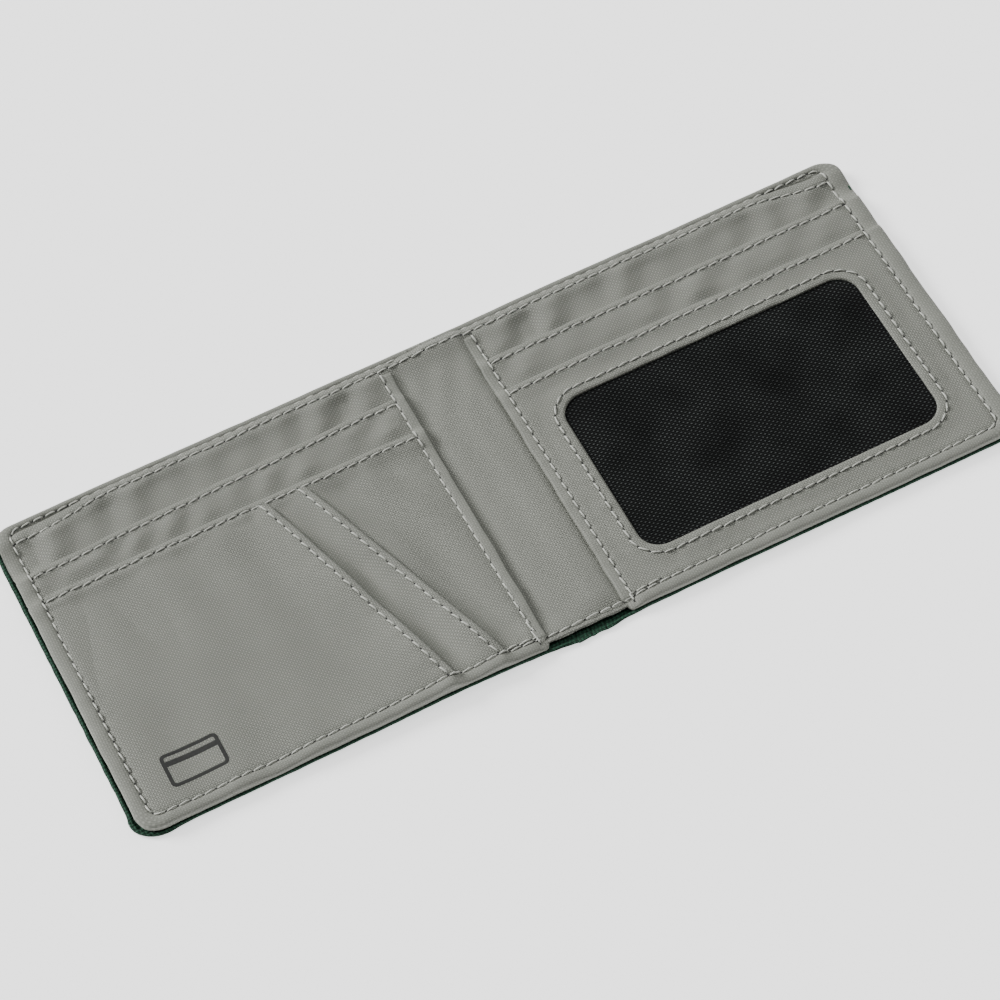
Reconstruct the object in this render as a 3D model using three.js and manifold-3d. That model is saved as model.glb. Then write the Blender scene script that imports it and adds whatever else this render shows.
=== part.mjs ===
/* Bifold wallet of woven cloth, lying open and flat with its outer face down, in millimetres.
   X runs along the open wallet, Y from the closed bottom edge to the mouth of the bill
   compartment, and Z up. The origin is under the middle of the wallet, on its outer face.
   The spine is cut into narrow strips, so that the wallet closes round its pocket stacks. */

import * as THREE from 'three';
import { mergeVertices } from 'three/addons/utils/BufferGeometryUtils.js';
import Module from 'manifold-3d';

const wasm = await Module();
wasm.setup();

// ---------------------------------------------------------------- driving dimensions

const openLength = 221;
const openHeight = 91;
const cornerRadius = 7;

// From each seam to the outer edge beside it
const sideMargin = 4.5;
const bottomMargin = 3.2;
const topMargin = 3.2;

// Cloth thicknesses, and the slack between two layers that lie on each other
const shellThickness = 0.5;
const foilThickness = 0.1;
const liningThickness = 0.2;
const meshThickness = 0.15;
const threadThickness = 0.15;
const printThickness = 0.05;
const layerGap = 0.1;
const billSpace = 0.3;
const edgeGap = 0.3;

// The fold: three strips between four bends of 45 degrees
const stripCount = 3;
const stripWidth = 3.6;
const bendAngle = Math.PI / 4;

// A hem is a folded edge: its width from fold to raw edge, the extra cloth on top of the
// panel, and the distance from the fold to the seam that holds it
const hemWidth = 3;
const hemExtra = 0.2;
const hemSeamInset = 1.8;
const threadWidth = 0.5;

// Pocket stacks
const stackInnerEdge = 9.5;
const innerFoldWidth = 2.9;
const innerFoldTop = 2.9;
const turnedEdgeTop = 3.1;
const topTurnedEdgeTop = 1.7;

// Height of each hem's fold, at the outer seam and at the inner edge of its stack
const mouthHem = { outer: 41.3, inner: 41.3 };
const upperSlotHem = { left: { outer: 30.6, inner: 33.6 }, right: { outer: 32.6, inner: 32.8 } };
const lowerSlotHem = { left: { outer: 22.9, inner: 22.5 }, right: { outer: 22.2, inner: 22.8 } };

// Slanted hems on the left stack: fold line at the slot's hem and at the bottom seam
const rearSlant = { top: -39.7, bottom: -19.7 };
const frontSlant = { top: -49.4, bottom: -32.1 };

// Window in the right stack, and the seam round it
const windowLow = { x: 20.4, y: -33.9 };
const windowSize = { x: 76.4, y: 46.7 };
const windowRadius = 5.5;
const windowSeamInset = 2.3;
const meshOverlap = 4;

// Outline of a payment card, printed on the front panel
const printCentre = { x: -92, y: -33.4 };
const printSize = { x: 14, y: 9 };
const printRadius = 1.4;
const printLine = 0.9;

// ---------------------------------------------------------------- derived places

const halfLength = openLength / 2;
const halfHeight = openHeight / 2;
const seamX = halfLength - sideMargin;
const bottomSeamY = -halfHeight + bottomMargin;
const topSeamY = halfHeight - topMargin;
const foldEdge = stripCount * stripWidth / 2;
const hingeZ = shellThickness;

// Turned edges reach a little inside the seams, and the panels stop just short of them
const turnedInset = 0.3;
const turnedX = seamX - turnedInset;
const turnedBottomY = bottomSeamY + turnedInset;
const turnedTopY = topSeamY - turnedInset;
const panelX = turnedX - edgeGap;
const panelBottomY = turnedBottomY + edgeGap;
const stackPanelX = stackInnerEdge + innerFoldWidth + edgeGap;

// Heights of the layers, from the outer face up: each is [underside, top]
const layers = stackLayers([
  ['shell', shellThickness, layerGap],
  ['foil', foilThickness, layerGap],
  ['lining', liningThickness, billSpace],
  ['innerPanel', liningThickness, layerGap],
  ['backing', liningThickness, layerGap],
  ['upperSlot', liningThickness, layerGap],
  ['lowerSlot', liningThickness, layerGap],
  ['rearSlantPanel', liningThickness, layerGap],
  ['frontSlantPanel', liningThickness, layerGap],
]);
const meshLayer = [layers.lowerSlot[0], layers.lowerSlot[0] + meshThickness];
const windowPanelUnderside = meshLayer[1] + layerGap;
const windowPanelLayer = [windowPanelUnderside, windowPanelUnderside + liningThickness];
const mouthHemTop = layers.innerPanel[1] + hemExtra;

// The stack's backing ends below the mouth hem, clear of it
const backingTopY = mouthHem.inner - hemWidth - edgeGap;

function stackLayers(entries) {
  const heights = {};
  let z = 0;
  for (const [name, thickness, gapAbove] of entries) {
    heights[name] = [z, z + thickness];
    z += thickness + gapAbove;
  }
  return heights;
}

// Two strips that bend towards each other need this much room on each side of the bend line,
// up to the height of their highest layer
function bendRoom(top) {
  return layerGap + Math.max(0, top - hingeZ) * Math.tan(bendAngle / 2);
}

// ---------------------------------------------------------------- materials

function cloth(color, roughness, metalness = 0) {
  return new THREE.MeshStandardMaterial({ color, roughness, metalness });
}
const green = () => cloth(0x1f3a2e, 0.9);
const grey = () => cloth(0x8b8c86, 0.75);
const foil = () => cloth(0xb9bcc0, 0.35, 0.8);
const blackMesh = () => cloth(0x15181a, 0.6);
const threadGrey = () => cloth(0x7d7e79, 0.7);
const ink = () => cloth(0x4a4c49, 0.8);

// ---------------------------------------------------------------- shapes

const wallet = new THREE.Group();

function add(name, geometry, material) {
  const mesh = new THREE.Mesh(geometry, material);
  mesh.name = name;
  wallet.add(mesh);
  return mesh;
}

// A plain plate between two corners, given as [low, high] along each axis
function addPlate(name, x, y, z, material) {
  const geometry = new THREE.BoxGeometry(x[1] - x[0], y[1] - y[0], z[1] - z[0]);
  const mesh = add(name, geometry, material);
  mesh.position.set((x[0] + x[1]) / 2, (y[0] + y[1]) / 2, (z[0] + z[1]) / 2);
  return mesh;
}

// A range of distances from the spine, on the left (-1) or the right (1)
function span(side, near, far) {
  return side < 0 ? [-far, -near] : [near, far];
}

function roundedRectangle(low, size, radius) {
  const [x0, y0] = [low.x, low.y];
  const [x1, y1] = [low.x + size.x, low.y + size.y];
  const shape = new THREE.Shape();
  shape.moveTo(x0 + radius, y0);
  shape.absarc(x1 - radius, y0 + radius, radius, -Math.PI / 2, 0);
  shape.absarc(x1 - radius, y1 - radius, radius, 0, Math.PI / 2);
  shape.absarc(x0 + radius, y1 - radius, radius, Math.PI / 2, Math.PI);
  shape.absarc(x0 + radius, y0 + radius, radius, Math.PI, 3 * Math.PI / 2);
  shape.closePath();
  return shape;
}

function grown(low, size, radius, by) {
  return roundedRectangle(
    { x: low.x - by, y: low.y - by },
    { x: size.x + 2 * by, y: size.y + 2 * by },
    radius + by,
  );
}

function slab(shape, z, curveSegments = 8) {
  const depth = z[1] - z[0];
  const geometry = new THREE.ExtrudeGeometry(shape, { depth, bevelEnabled: false, curveSegments });
  return geometry.translate(0, 0, z[0]);
}

function polygon(points) {
  return new THREE.Shape(points.map(([x, y]) => new THREE.Vector2(x, y)));
}

// ---------------------------------------------------------------- joining and cutting

function toSolid(geometry) {
  const bare = geometry.clone();
  bare.deleteAttribute('normal');
  bare.deleteAttribute('uv');
  const merged = mergeVertices(bare, 1e-4);
  return new wasm.Manifold(new wasm.Mesh({
    numProp: 3,
    vertProperties: merged.attributes.position.array,
    triVerts: new Uint32Array(merged.index.array),
  }));
}

function toGeometry(solid) {
  const mesh = solid.getMesh();
  const geometry = new THREE.BufferGeometry();
  geometry.setAttribute('position', new THREE.BufferAttribute(mesh.vertProperties, 3));
  geometry.setIndex(new THREE.BufferAttribute(mesh.triVerts, 1));
  geometry.computeVertexNormals();
  return geometry;
}

// What the wallet's rounded outline leaves of a plate, between two heights
function insideOutline(x, y, z) {
  const outline = roundedRectangle(
    { x: -halfLength, y: -halfHeight },
    { x: openLength, y: openHeight },
    cornerRadius,
  );
  const corners = [[x[0], y[0]], [x[1], y[0]], [x[1], y[1]], [x[0], y[1]]];
  const tall = [z[0] - 1, z[1] + 1];
  return toGeometry(toSolid(slab(outline, z)).intersect(toSolid(slab(polygon(corners), tall))));
}

// ---------------------------------------------------------------- cloth panels

// A flat sheet of cloth joined to the folded hem along one of its edges
function hemmedSheet(sheet, hem, z) {
  const hemHeights = [(z[0] + z[1]) / 2, z[1] + hemExtra];
  return toSolid(slab(polygon(sheet), z)).add(toSolid(slab(polygon(hem), hemHeights)));
}

// A panel whose upper edge is folded into a hem, from its left end to its right end
function hemmedPanel(x, foldLeft, foldRight, z) {
  const sheet = [[x[0], panelBottomY], [x[1], panelBottomY], [x[1], foldRight], [x[0], foldLeft]];
  const hem = [
    [x[0], foldLeft - hemWidth],
    [x[1], foldRight - hemWidth],
    [x[1], foldRight],
    [x[0], foldLeft],
  ];
  return hemmedSheet(sheet, hem, z);
}

// The same on one half of the wallet, where the fold is given at the outer and inner ends
function halfHemmedPanel(side, x, fold, z) {
  const ends = side < 0 ? [fold.outer, fold.inner] : [fold.inner, fold.outer];
  return hemmedPanel(x, ends[0], ends[1], z);
}

// A panel of the left stack whose inner edge is a slanted hem
function slantedPanel(slant, top, z) {
  const outer = -panelX;
  const bottom = panelBottomY;
  const sheet = [[outer, bottom], [slant.bottom, bottom], [slant.top, top], [outer, top]];
  const hem = [
    [slant.bottom - hemWidth, bottom],
    [slant.bottom, bottom],
    [slant.top, top],
    [slant.top - hemWidth, top],
  ];
  return hemmedSheet(sheet, hem, z);
}

// ---------------------------------------------------------------- seams

// A straight seam, as the band that its thread covers, from one end to the other
function addSeam(name, from, to, surface) {
  const [dx, dy] = [to[0] - from[0], to[1] - from[1]];
  const geometry = new THREE.BoxGeometry(Math.hypot(dx, dy), threadWidth, threadThickness);
  const seam = add(name, geometry, threadGrey());
  const z = surface + layerGap + threadThickness / 2;
  seam.position.set((from[0] + to[0]) / 2, (from[1] + to[1]) / 2, z);
  seam.rotation.z = Math.atan2(dy, dx);
}

// The seam that holds a panel's hem, across one half's pocket stack
function addHemSeam(name, side, fold, surface) {
  const inner = [side * stackPanelX, fold.inner - hemSeamInset];
  const outer = [side * panelX, fold.outer - hemSeamInset];
  addSeam(name, inner, outer, surface);
}

// ---------------------------------------------------------------- both halves

function addLayers(side, word) {
  const { shell, lining, innerPanel, backing, upperSlot } = layers;
  const bagHeights = [panelBottomY, turnedTopY - edgeGap];
  const underStack = span(side, stackPanelX, panelX);

  const shellSpan = span(side, foldEdge + bendRoom(shell[1]), halfLength);
  add(`outer_shell_${word}`, insideOutline(shellSpan, [-halfHeight, halfHeight], shell), green());
  addPlate(`rfid_foil_${word}`, underStack, bagHeights, layers.foil, foil());
  const liningSpan = span(side, foldEdge + bendRoom(lining[1]), panelX);
  addPlate(`bill_lining_${word}`, liningSpan, bagHeights, lining, grey());
  const innerSpan = span(side, foldEdge + bendRoom(mouthHemTop), panelX);
  const innerPanelSolid = halfHemmedPanel(side, innerSpan, mouthHem, innerPanel);
  add(`inner_panel_${word}`, toGeometry(innerPanelSolid), grey());

  const backingSpan = span(side, stackInnerEdge, panelX);
  addPlate(`stack_backing_${word}`, backingSpan, [panelBottomY, backingTopY], backing, grey());
  const foldSpan = span(side, stackInnerEdge, stackInnerEdge + innerFoldWidth);
  const foldHeights = [backing[1] + layerGap, innerFoldTop];
  addPlate(`inner_edge_fold_${word}`, foldSpan, [panelBottomY, backingTopY], foldHeights, grey());
  const slotSolid = halfHemmedPanel(side, underStack, upperSlotHem[word], upperSlot);
  add(`upper_slot_panel_${word}`, toGeometry(slotSolid), grey());
}

// The turned edges: side, bottom, and the shell's own edge at the mouth
function addTurnedEdges(side, word) {
  const base = layers.shell[1] + layerGap;
  const tall = [base, turnedEdgeTop];
  const low = [base, topTurnedEdgeTop];
  const alongSide = insideOutline(span(side, turnedX, halfLength), [-halfHeight, halfHeight], tall);
  add(`turned_edge_side_${word}`, alongSide, grey());
  const bottomSpan = span(side, stackInnerEdge, panelX);
  const alongBottom = insideOutline(bottomSpan, [-halfHeight, turnedBottomY], tall);
  add(`turned_edge_bottom_${word}`, alongBottom, grey());
  const alongTop = insideOutline(topEdgeSpan(side), [turnedTopY, halfHeight], low);
  add(`turned_edge_top_${word}`, alongTop, grey());
}

function topEdgeSpan(side) {
  return span(side, foldEdge + bendRoom(topTurnedEdgeTop), panelX);
}

function addSeams(side, word) {
  const innerSeamX = side * (stackInnerEdge + innerFoldWidth - threadWidth);
  const topSpan = topEdgeSpan(side);
  const sideEnds = [[side * seamX, bottomSeamY], [side * seamX, topSeamY]];
  const bottomEnds = [[side * stackInnerEdge, bottomSeamY], [side * panelX, bottomSeamY]];
  const topEnds = [[topSpan[0], topSeamY], [topSpan[1], topSeamY]];
  const innerEnds = [[innerSeamX, panelBottomY], [innerSeamX, backingTopY]];
  addSeam(`seam_side_${word}`, ...sideEnds, turnedEdgeTop);
  addSeam(`seam_bottom_${word}`, ...bottomEnds, turnedEdgeTop);
  addSeam(`seam_top_${word}`, ...topEnds, topTurnedEdgeTop);
  addSeam(`seam_inner_edge_${word}`, ...innerEnds, innerFoldTop);
  addHemSeam(`seam_mouth_hem_${word}`, side, mouthHem, mouthHemTop);
  addHemSeam(`seam_upper_slot_${word}`, side, upperSlotHem[word], layers.upperSlot[1] + hemExtra);
}

// ---------------------------------------------------------------- the fold

function addSpine() {
  const { shell, lining, innerPanel } = layers;
  for (let i = 0; i < stripCount; i += 1) {
    const x0 = -foldEdge + i * stripWidth;
    const strip = (top) => [x0 + bendRoom(top), x0 + stripWidth - bendRoom(top)];
    const word = `spine_${i + 1}`;
    addPlate(`outer_shell_${word}`, strip(shell[1]), [-halfHeight, halfHeight], shell, green());
    const bagHeights = [panelBottomY, turnedTopY - edgeGap];
    addPlate(`bill_lining_${word}`, strip(lining[1]), bagHeights, lining, grey());
    const panel = hemmedPanel(strip(mouthHemTop), mouthHem.inner, mouthHem.inner, innerPanel);
    add(`inner_panel_${word}`, toGeometry(panel), grey());
  }
}

// ---------------------------------------------------------------- left stack only

function addLeftStack() {
  const { lowerSlot, rearSlantPanel, frontSlantPanel } = layers;
  const fold = lowerSlotHem.left;
  const slotPanel = halfHemmedPanel(-1, span(-1, stackPanelX, panelX), fold, lowerSlot);
  add('lower_slot_panel_left', toGeometry(slotPanel), grey());
  addHemSeam('seam_lower_slot_left', -1, fold, lowerSlot[1] + hemExtra);

  // The slanted panels end under the lower slot's hem, which holds their upper edge
  const slantTop = Math.min(fold.outer, fold.inner) - hemWidth - edgeGap;
  const panels = [
    ['rear', rearSlant, rearSlantPanel],
    ['front', frontSlant, frontSlantPanel],
  ];
  for (const [word, slant, z] of panels) {
    add(`slanted_panel_${word}`, toGeometry(slantedPanel(slant, slantTop, z)), grey());
    const bottomEnd = [slant.bottom - hemSeamInset, panelBottomY + threadWidth];
    const topEnd = [slant.top - hemSeamInset, slantTop - threadWidth];
    addSeam(`seam_slanted_${word}`, bottomEnd, topEnd, z[1] + hemExtra);
  }
  add('printed_card', printedCard(frontSlantPanel[1] + layerGap), ink());
}

// The outline of a card with its stripe, as one film of ink
function printedCard(underside) {
  const low = { x: printCentre.x - printSize.x / 2, y: printCentre.y - printSize.y / 2 };
  const z = [underside, underside + printThickness];
  const cutHeights = [z[0] - 1, z[1] + 1];
  const outline = toSolid(slab(grown(low, printSize, printRadius, 0), z));
  const inside = toSolid(slab(grown(low, printSize, printRadius, -printLine), cutHeights));
  const stripeY = printCentre.y + printSize.y / 6;
  const [stripeLeft, stripeRight] = [low.x + printLine / 2, low.x + printSize.x - printLine / 2];
  const stripe = polygon([
    [stripeLeft, stripeY - printLine],
    [stripeRight, stripeY - printLine],
    [stripeRight, stripeY + printLine],
    [stripeLeft, stripeY + printLine],
  ]);
  return toGeometry(outline.subtract(inside).add(toSolid(slab(stripe, z))));
}

// ---------------------------------------------------------------- right stack only

function addRightStack() {
  const cutHeights = [0, openHeight];
  const windowHole = roundedRectangle(windowLow, windowSize, windowRadius);
  const meshSheet = grown(windowLow, windowSize, windowRadius, meshOverlap);
  add('id_window_mesh', slab(meshSheet, meshLayer), blackMesh());

  const fold = lowerSlotHem.right;
  const panel = halfHemmedPanel(1, span(1, stackPanelX, panelX), fold, windowPanelLayer);
  const framed = panel.subtract(toSolid(slab(windowHole, cutHeights)));
  add('window_frame_panel', toGeometry(framed), grey());

  const panelTop = windowPanelLayer[1];
  addHemSeam('seam_window_panel_hem', 1, fold, panelTop + hemExtra);
  const seamHeights = [panelTop + layerGap, panelTop + layerGap + threadThickness];
  const ringEdge = (by) => grown(windowLow, windowSize, windowRadius, windowSeamInset + by);
  const outside = toSolid(slab(ringEdge(threadWidth / 2), seamHeights));
  const inside = toSolid(slab(ringEdge(-threadWidth / 2), cutHeights));
  add('seam_window', toGeometry(outside.subtract(inside)), threadGrey());
}

for (const [side, word] of [[-1, 'left'], [1, 'right']]) {
  addLayers(side, word);
  addTurnedEdges(side, word);
  addSeams(side, word);
}
addSpine();
addLeftStack();
addRightStack();

export default wallet;
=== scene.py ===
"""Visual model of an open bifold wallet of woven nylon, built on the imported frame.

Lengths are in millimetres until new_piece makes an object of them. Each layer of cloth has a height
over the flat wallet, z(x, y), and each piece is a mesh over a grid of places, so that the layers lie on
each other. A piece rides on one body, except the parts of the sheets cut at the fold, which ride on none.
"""
import math
from collections import namedtuple

import bpy
import bmesh
import numpy as np
from mathutils import Matrix, Vector


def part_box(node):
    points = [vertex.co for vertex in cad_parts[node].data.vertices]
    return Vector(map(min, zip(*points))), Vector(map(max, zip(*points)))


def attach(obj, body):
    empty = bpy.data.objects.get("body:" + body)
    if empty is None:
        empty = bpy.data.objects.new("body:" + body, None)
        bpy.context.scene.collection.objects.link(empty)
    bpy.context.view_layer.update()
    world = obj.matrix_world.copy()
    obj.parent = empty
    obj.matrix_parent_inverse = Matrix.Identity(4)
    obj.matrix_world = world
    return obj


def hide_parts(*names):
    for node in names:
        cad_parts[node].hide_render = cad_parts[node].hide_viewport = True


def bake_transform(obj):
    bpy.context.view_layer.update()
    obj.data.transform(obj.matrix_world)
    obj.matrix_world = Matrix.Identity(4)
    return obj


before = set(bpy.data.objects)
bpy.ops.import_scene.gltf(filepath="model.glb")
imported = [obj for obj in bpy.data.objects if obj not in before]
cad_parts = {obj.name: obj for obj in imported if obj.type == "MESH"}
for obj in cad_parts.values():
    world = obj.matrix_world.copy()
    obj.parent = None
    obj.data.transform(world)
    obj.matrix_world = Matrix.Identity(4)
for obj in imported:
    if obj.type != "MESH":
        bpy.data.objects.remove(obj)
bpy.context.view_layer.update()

MM = 0.001
FAR = 1e3  # beyond any part of the wallet

# ------------------------------------------------------------ places read from the frame


def low(node):
    return np.array(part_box(node)[0]) / MM


def high(node):
    return np.array(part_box(node)[1]) / MM


def middle(node, axis):
    return (low(node)[axis] + high(node)[axis]) / 2


def seam_line(node, end_reach=0.7):
    """The two ends (x, y) of a straight seam's centreline, from the corners within end_reach of them."""
    points = np.array([v.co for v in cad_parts[node].data.vertices])[:, :2] / MM
    centre = points.mean(axis=0)
    along = np.linalg.svd(points - centre, full_matrices=False)[2][0]
    along = along * np.sign(along[np.argmax(abs(along))])
    reach = (points - centre) @ along
    first = points[reach < reach.min() + end_reach].mean(axis=0)
    last = points[reach > reach.max() - end_reach].mean(axis=0)
    return first, last


OUTER_X, OUTER_Y = high("outer_shell_right")[:2]
SEAM_X = middle("seam_side_right", 0)
BOTTOM_SEAM_Y = middle("seam_bottom_right", 1)
INNER_SEAM_X = middle("seam_inner_edge_right", 0)
STACK_X = low("inner_edge_fold_right")[0]
STRIP = (high("outer_shell_spine_3")[0] + low("outer_shell_right")[0]) / 3

# The cloth at the mouth is thin, so its topstitching sits close to the edge
TOP_SEAM_Y = OUTER_Y - 1.9
SEAM_MIDDLE_Y = (BOTTOM_SEAM_Y + TOP_SEAM_Y) / 2
SEAM_RADIUS = 2.6
HEM_WIDTH = 1.8  # from a hem's fold to its stitches

HEM_EXTRA = 0.2  # how far the CAD's hems stand above their panels
SHELL_TOP = high("outer_shell_left")[2]
FOIL_TOP = high("rfid_foil_left")[2]
LINING_TOP = high("bill_lining_left")[2]
INNER_TOP = high("inner_panel_left")[2] - HEM_EXTRA
BACKING_TOP = high("stack_backing_left")[2]
UPPER_TOP = high("upper_slot_panel_left")[2] - HEM_EXTRA
LOWER_TOP = high("lower_slot_panel_left")[2] - HEM_EXTRA
REAR_TOP = high("slanted_panel_rear")[2] - HEM_EXTRA
FRONT_TOP = high("slanted_panel_front")[2] - HEM_EXTRA
FRAME_TOP = high("window_frame_panel")[2] - HEM_EXTRA
MESH_TOP = high("id_window_mesh")[2]

# Thickness of each cloth
CLOTH = 0.2
MESH_CLOTH = 0.15
FOIL_CLOTH = 0.1

WINDOW_SEAM_INSET = 2.3  # from the window's opening to its stitches
HALF_THREAD = 0.25  # half the width of a thread in the CAD
WINDOW_LOW = low("seam_window")[:2] + HALF_THREAD + WINDOW_SEAM_INSET
WINDOW_HIGH = high("seam_window")[:2] - HALF_THREAD - WINDOW_SEAM_INSET
WINDOW_RADIUS = 5.5
WINDOW_X = 58  # near the middle of the window's panel

# ------------------------------------------------------------ small numeric helpers


def smooth(t):
    t = np.clip(t, 0.0, 1.0)
    return t * t * (3 - 2 * t)


def bell(distance, width):
    return np.exp(-((distance / width) ** 2))


def waves(x, y, seed, lengths, angles=(0.0, math.pi), terms=7):
    """Smooth seeded undulation, mostly between -1 and 1. angles are the directions it runs in."""
    rng = np.random.default_rng(seed)
    total = 0.0
    for _ in range(terms):
        length, angle, phase = rng.uniform(*lengths), rng.uniform(*angles), rng.uniform(0, 2 * math.pi)
        total = total + np.sin(2 * math.pi * (x * math.cos(angle) + y * math.sin(angle)) / length + phase)
    return total / math.sqrt(2 * terms)


def ripple(t, seed, lengths):
    """The same undulation along one line."""
    return waves(t, 0, seed, lengths, (0, 0.01))


def fixed(value):
    return lambda t: value + 0.0 * np.asarray(t, float)


def path_length(path):
    """Length along a path, up to each of its points."""
    return np.append(0, np.cumsum(np.linalg.norm(np.diff(path, axis=0), axis=1)))


def line_through(first, last, axis):
    """The straight line as y(x) for axis 0, or x(y) for axis 1."""
    slope = (last[1 - axis] - first[1 - axis]) / (last[axis] - first[axis])
    return lambda t: first[1 - axis] + slope * (t - first[axis])


def rounded_distance(x, y, low_corner, high_corner, radius):
    """Distance inside a rounded rectangle, negative outside it."""
    centre = [(a + b) / 2 for a, b in zip(low_corner, high_corner)]
    half = [(b - a) / 2 - radius for a, b in zip(low_corner, high_corner)]
    past_x = np.abs(x - centre[0]) - half[0]
    past_y = np.abs(y - centre[1]) - half[1]
    outside = np.hypot(np.maximum(past_x, 0), np.maximum(past_y, 0))
    return radius - outside - np.minimum(np.maximum(past_x, past_y), 0)


def seam_distance(x, y):
    """Distance inside the seam that runs round the whole wallet."""
    return rounded_distance(x, y, (-SEAM_X, BOTTOM_SEAM_Y), (SEAM_X, TOP_SEAM_Y), SEAM_RADIUS)


def along_seam(x, y):
    """A place along the round seam: y beside the two sides, x elsewhere."""
    return np.where(np.abs(x) > SEAM_X - 4, y, x)


def window_distance(x, y):
    """Distance outside the window's opening, negative inside it."""
    return -rounded_distance(x, y, WINDOW_LOW, WINDOW_HIGH, WINDOW_RADIUS)


def rounded_loop(low_corner, high_corner, radius, per_arc, per_side):
    """An anticlockwise outline with round corners: its points, outward directions and sides.
    Side 0 is the bottom, 1 the right, 2 the top and 3 the left; each arc is half on either side.
    per_side is how many points a level and an upright side have."""
    (x0, y0), (x1, y1) = low_corner + radius, high_corner - radius
    centres = np.array([(x1, y0), (x1, y1), (x0, y1), (x0, y0)])
    arc = (np.arange(per_arc) + 0.5) / per_arc
    points, outward, sides = [], [], []
    for corner in range(4):
        following = (corner + 1) % 4
        count = per_side[following % 2]
        share = (np.arange(count) + 0.5) / count
        angle = (corner - 1 + np.append(arc, np.ones(count))) * math.pi / 2
        slide = np.append(np.zeros(per_arc), share)[:, None]
        direction = np.stack([np.cos(angle), np.sin(angle)], axis=1)
        points.append(centres[corner] + (centres[following] - centres[corner]) * slide + radius * direction)
        outward.append(direction)
        sides.append(np.append(np.where(arc < 0.5, corner, following), np.full(count, following)))
    return np.concatenate(points), np.concatenate(outward), np.concatenate(sides)


# ------------------------------------------------------------ hems and their lines


def straight_hem(node):
    """Fold line y(x) of a straight hem, which wanders a little."""
    line = line_through(*seam_line(node), 0)
    return lambda x: line(x) + HEM_WIDTH + 0.1 * ripple(x, len(node), (14, 40))


def slanted_hem(node):
    """Fold line x(y) of a slanted hem."""
    first, last = seam_line(node)
    line = line_through(first, last, 1)
    lean = math.hypot(*(last - first)) / abs(last[1] - first[1])
    return lambda y: line(y) + HEM_WIDTH * lean + 0.08 * ripple(y, len(node), (14, 34))


upper_hem_left = straight_hem("seam_upper_slot_left")
upper_hem_right = straight_hem("seam_upper_slot_right")
lower_hem_left = straight_hem("seam_lower_slot_left")
window_hem = straight_hem("seam_window_panel_hem")
rear_slant = slanted_hem("seam_slanted_rear")
front_slant = slanted_hem("seam_slanted_front")


def mouth_ends(x):
    """How far the mouth hem has sunk near the left and right end, from 0 to 1 each."""
    return smooth((-x - 82) / 18), smooth((x - 84) / 20)


def mouth_hem(x):
    """Fold line of the mouth hem: it sinks below the topstitching near the two ends."""
    left_end, right_end = mouth_ends(x)
    return TOP_SEAM_Y + 0.3 - 1.2 * left_end - 1.7 * right_end + 0.12 * ripple(x, 5, (12, 36))


def mouth_inset(x):
    """Distance from the mouth hem's fold to its stitches."""
    left_end, right_end = mouth_ends(x)
    return 2.1 + 0.8 * left_end + 1.0 * right_end


def mouth_row(x):
    """Line of the mouth hem's stitches."""
    return mouth_hem(x) - mouth_inset(x)


def hem_profile(d, crown=0.64, inset=HEM_WIDTH, tilt=0.5):
    """Rise of a stitched hem at distance d from its fold: round fold, band, stitch groove, allowance.
    tilt is the share of the rise that comes slowly across the band, or a fall where it is negative."""
    d = np.maximum(d, 0)
    body = (1 - tilt) * (1 - np.exp(-d / 0.24)) + tilt * smooth(d / (inset - 0.3))
    end = 1 - 0.4 * smooth((d - inset) / 1.0) - 0.6 * smooth((d - inset - 0.6) / 3.4)
    return crown * body * end - 0.4 * crown * bell(d - inset, 0.3)


def band_swell(t, seed):
    """The hem band swells and slackens along its length."""
    return 1 + 0.28 * ripple(t, seed, (6, 19))


def seam_pull(distance, along, seed, depth=0.24):
    """Cloth pulled down into a seam, with small puckers that run out of it."""
    pucker = 0.075 * np.exp(-np.maximum(distance, 0) / 2.6)
    pucker = pucker * waves(along, distance * 0.2, seed, (2.6, 6.5), (-0.1, 0.1))
    return -depth * bell(distance, 0.8) + pucker


# ------------------------------------------------------------ heights of the layers

# The numbers inside these functions are heights, widths and places in millimetres, or shares of them
MOUTH_LIFT = 0.8
MOUTH_RIM_GROUND = INNER_TOP + 0.1
SPINE_HEM_WIDTH = 1.6
SPINE_HEM_Y = BOTTOM_SEAM_Y - SPINE_HEM_WIDTH
STACK_LIMIT = INNER_SEAM_X - 0.3
OVER_THREADS = 2.62  # a slanted pocket's height beside the lower slot's stitches


def lift(x, y):
    """How far the whole wallet stands off the floor: the mouth gapes a little and no cloth is flat."""
    mouth = MOUTH_LIFT * smooth((y - 27) / 16) * (0.82 + 0.18 * ripple(x, 3, (50, 120)))
    sway = 0.35 * (1 + waves(x, y, 11, (90, 190), (0.2, 1.2), 4)) / 2
    arch = 0.75 * bell(x + 30, 17) * smooth((-y - 18) / 26)
    return mouth + sway * smooth((np.abs(x) - 8) / 30) + arch


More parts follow.
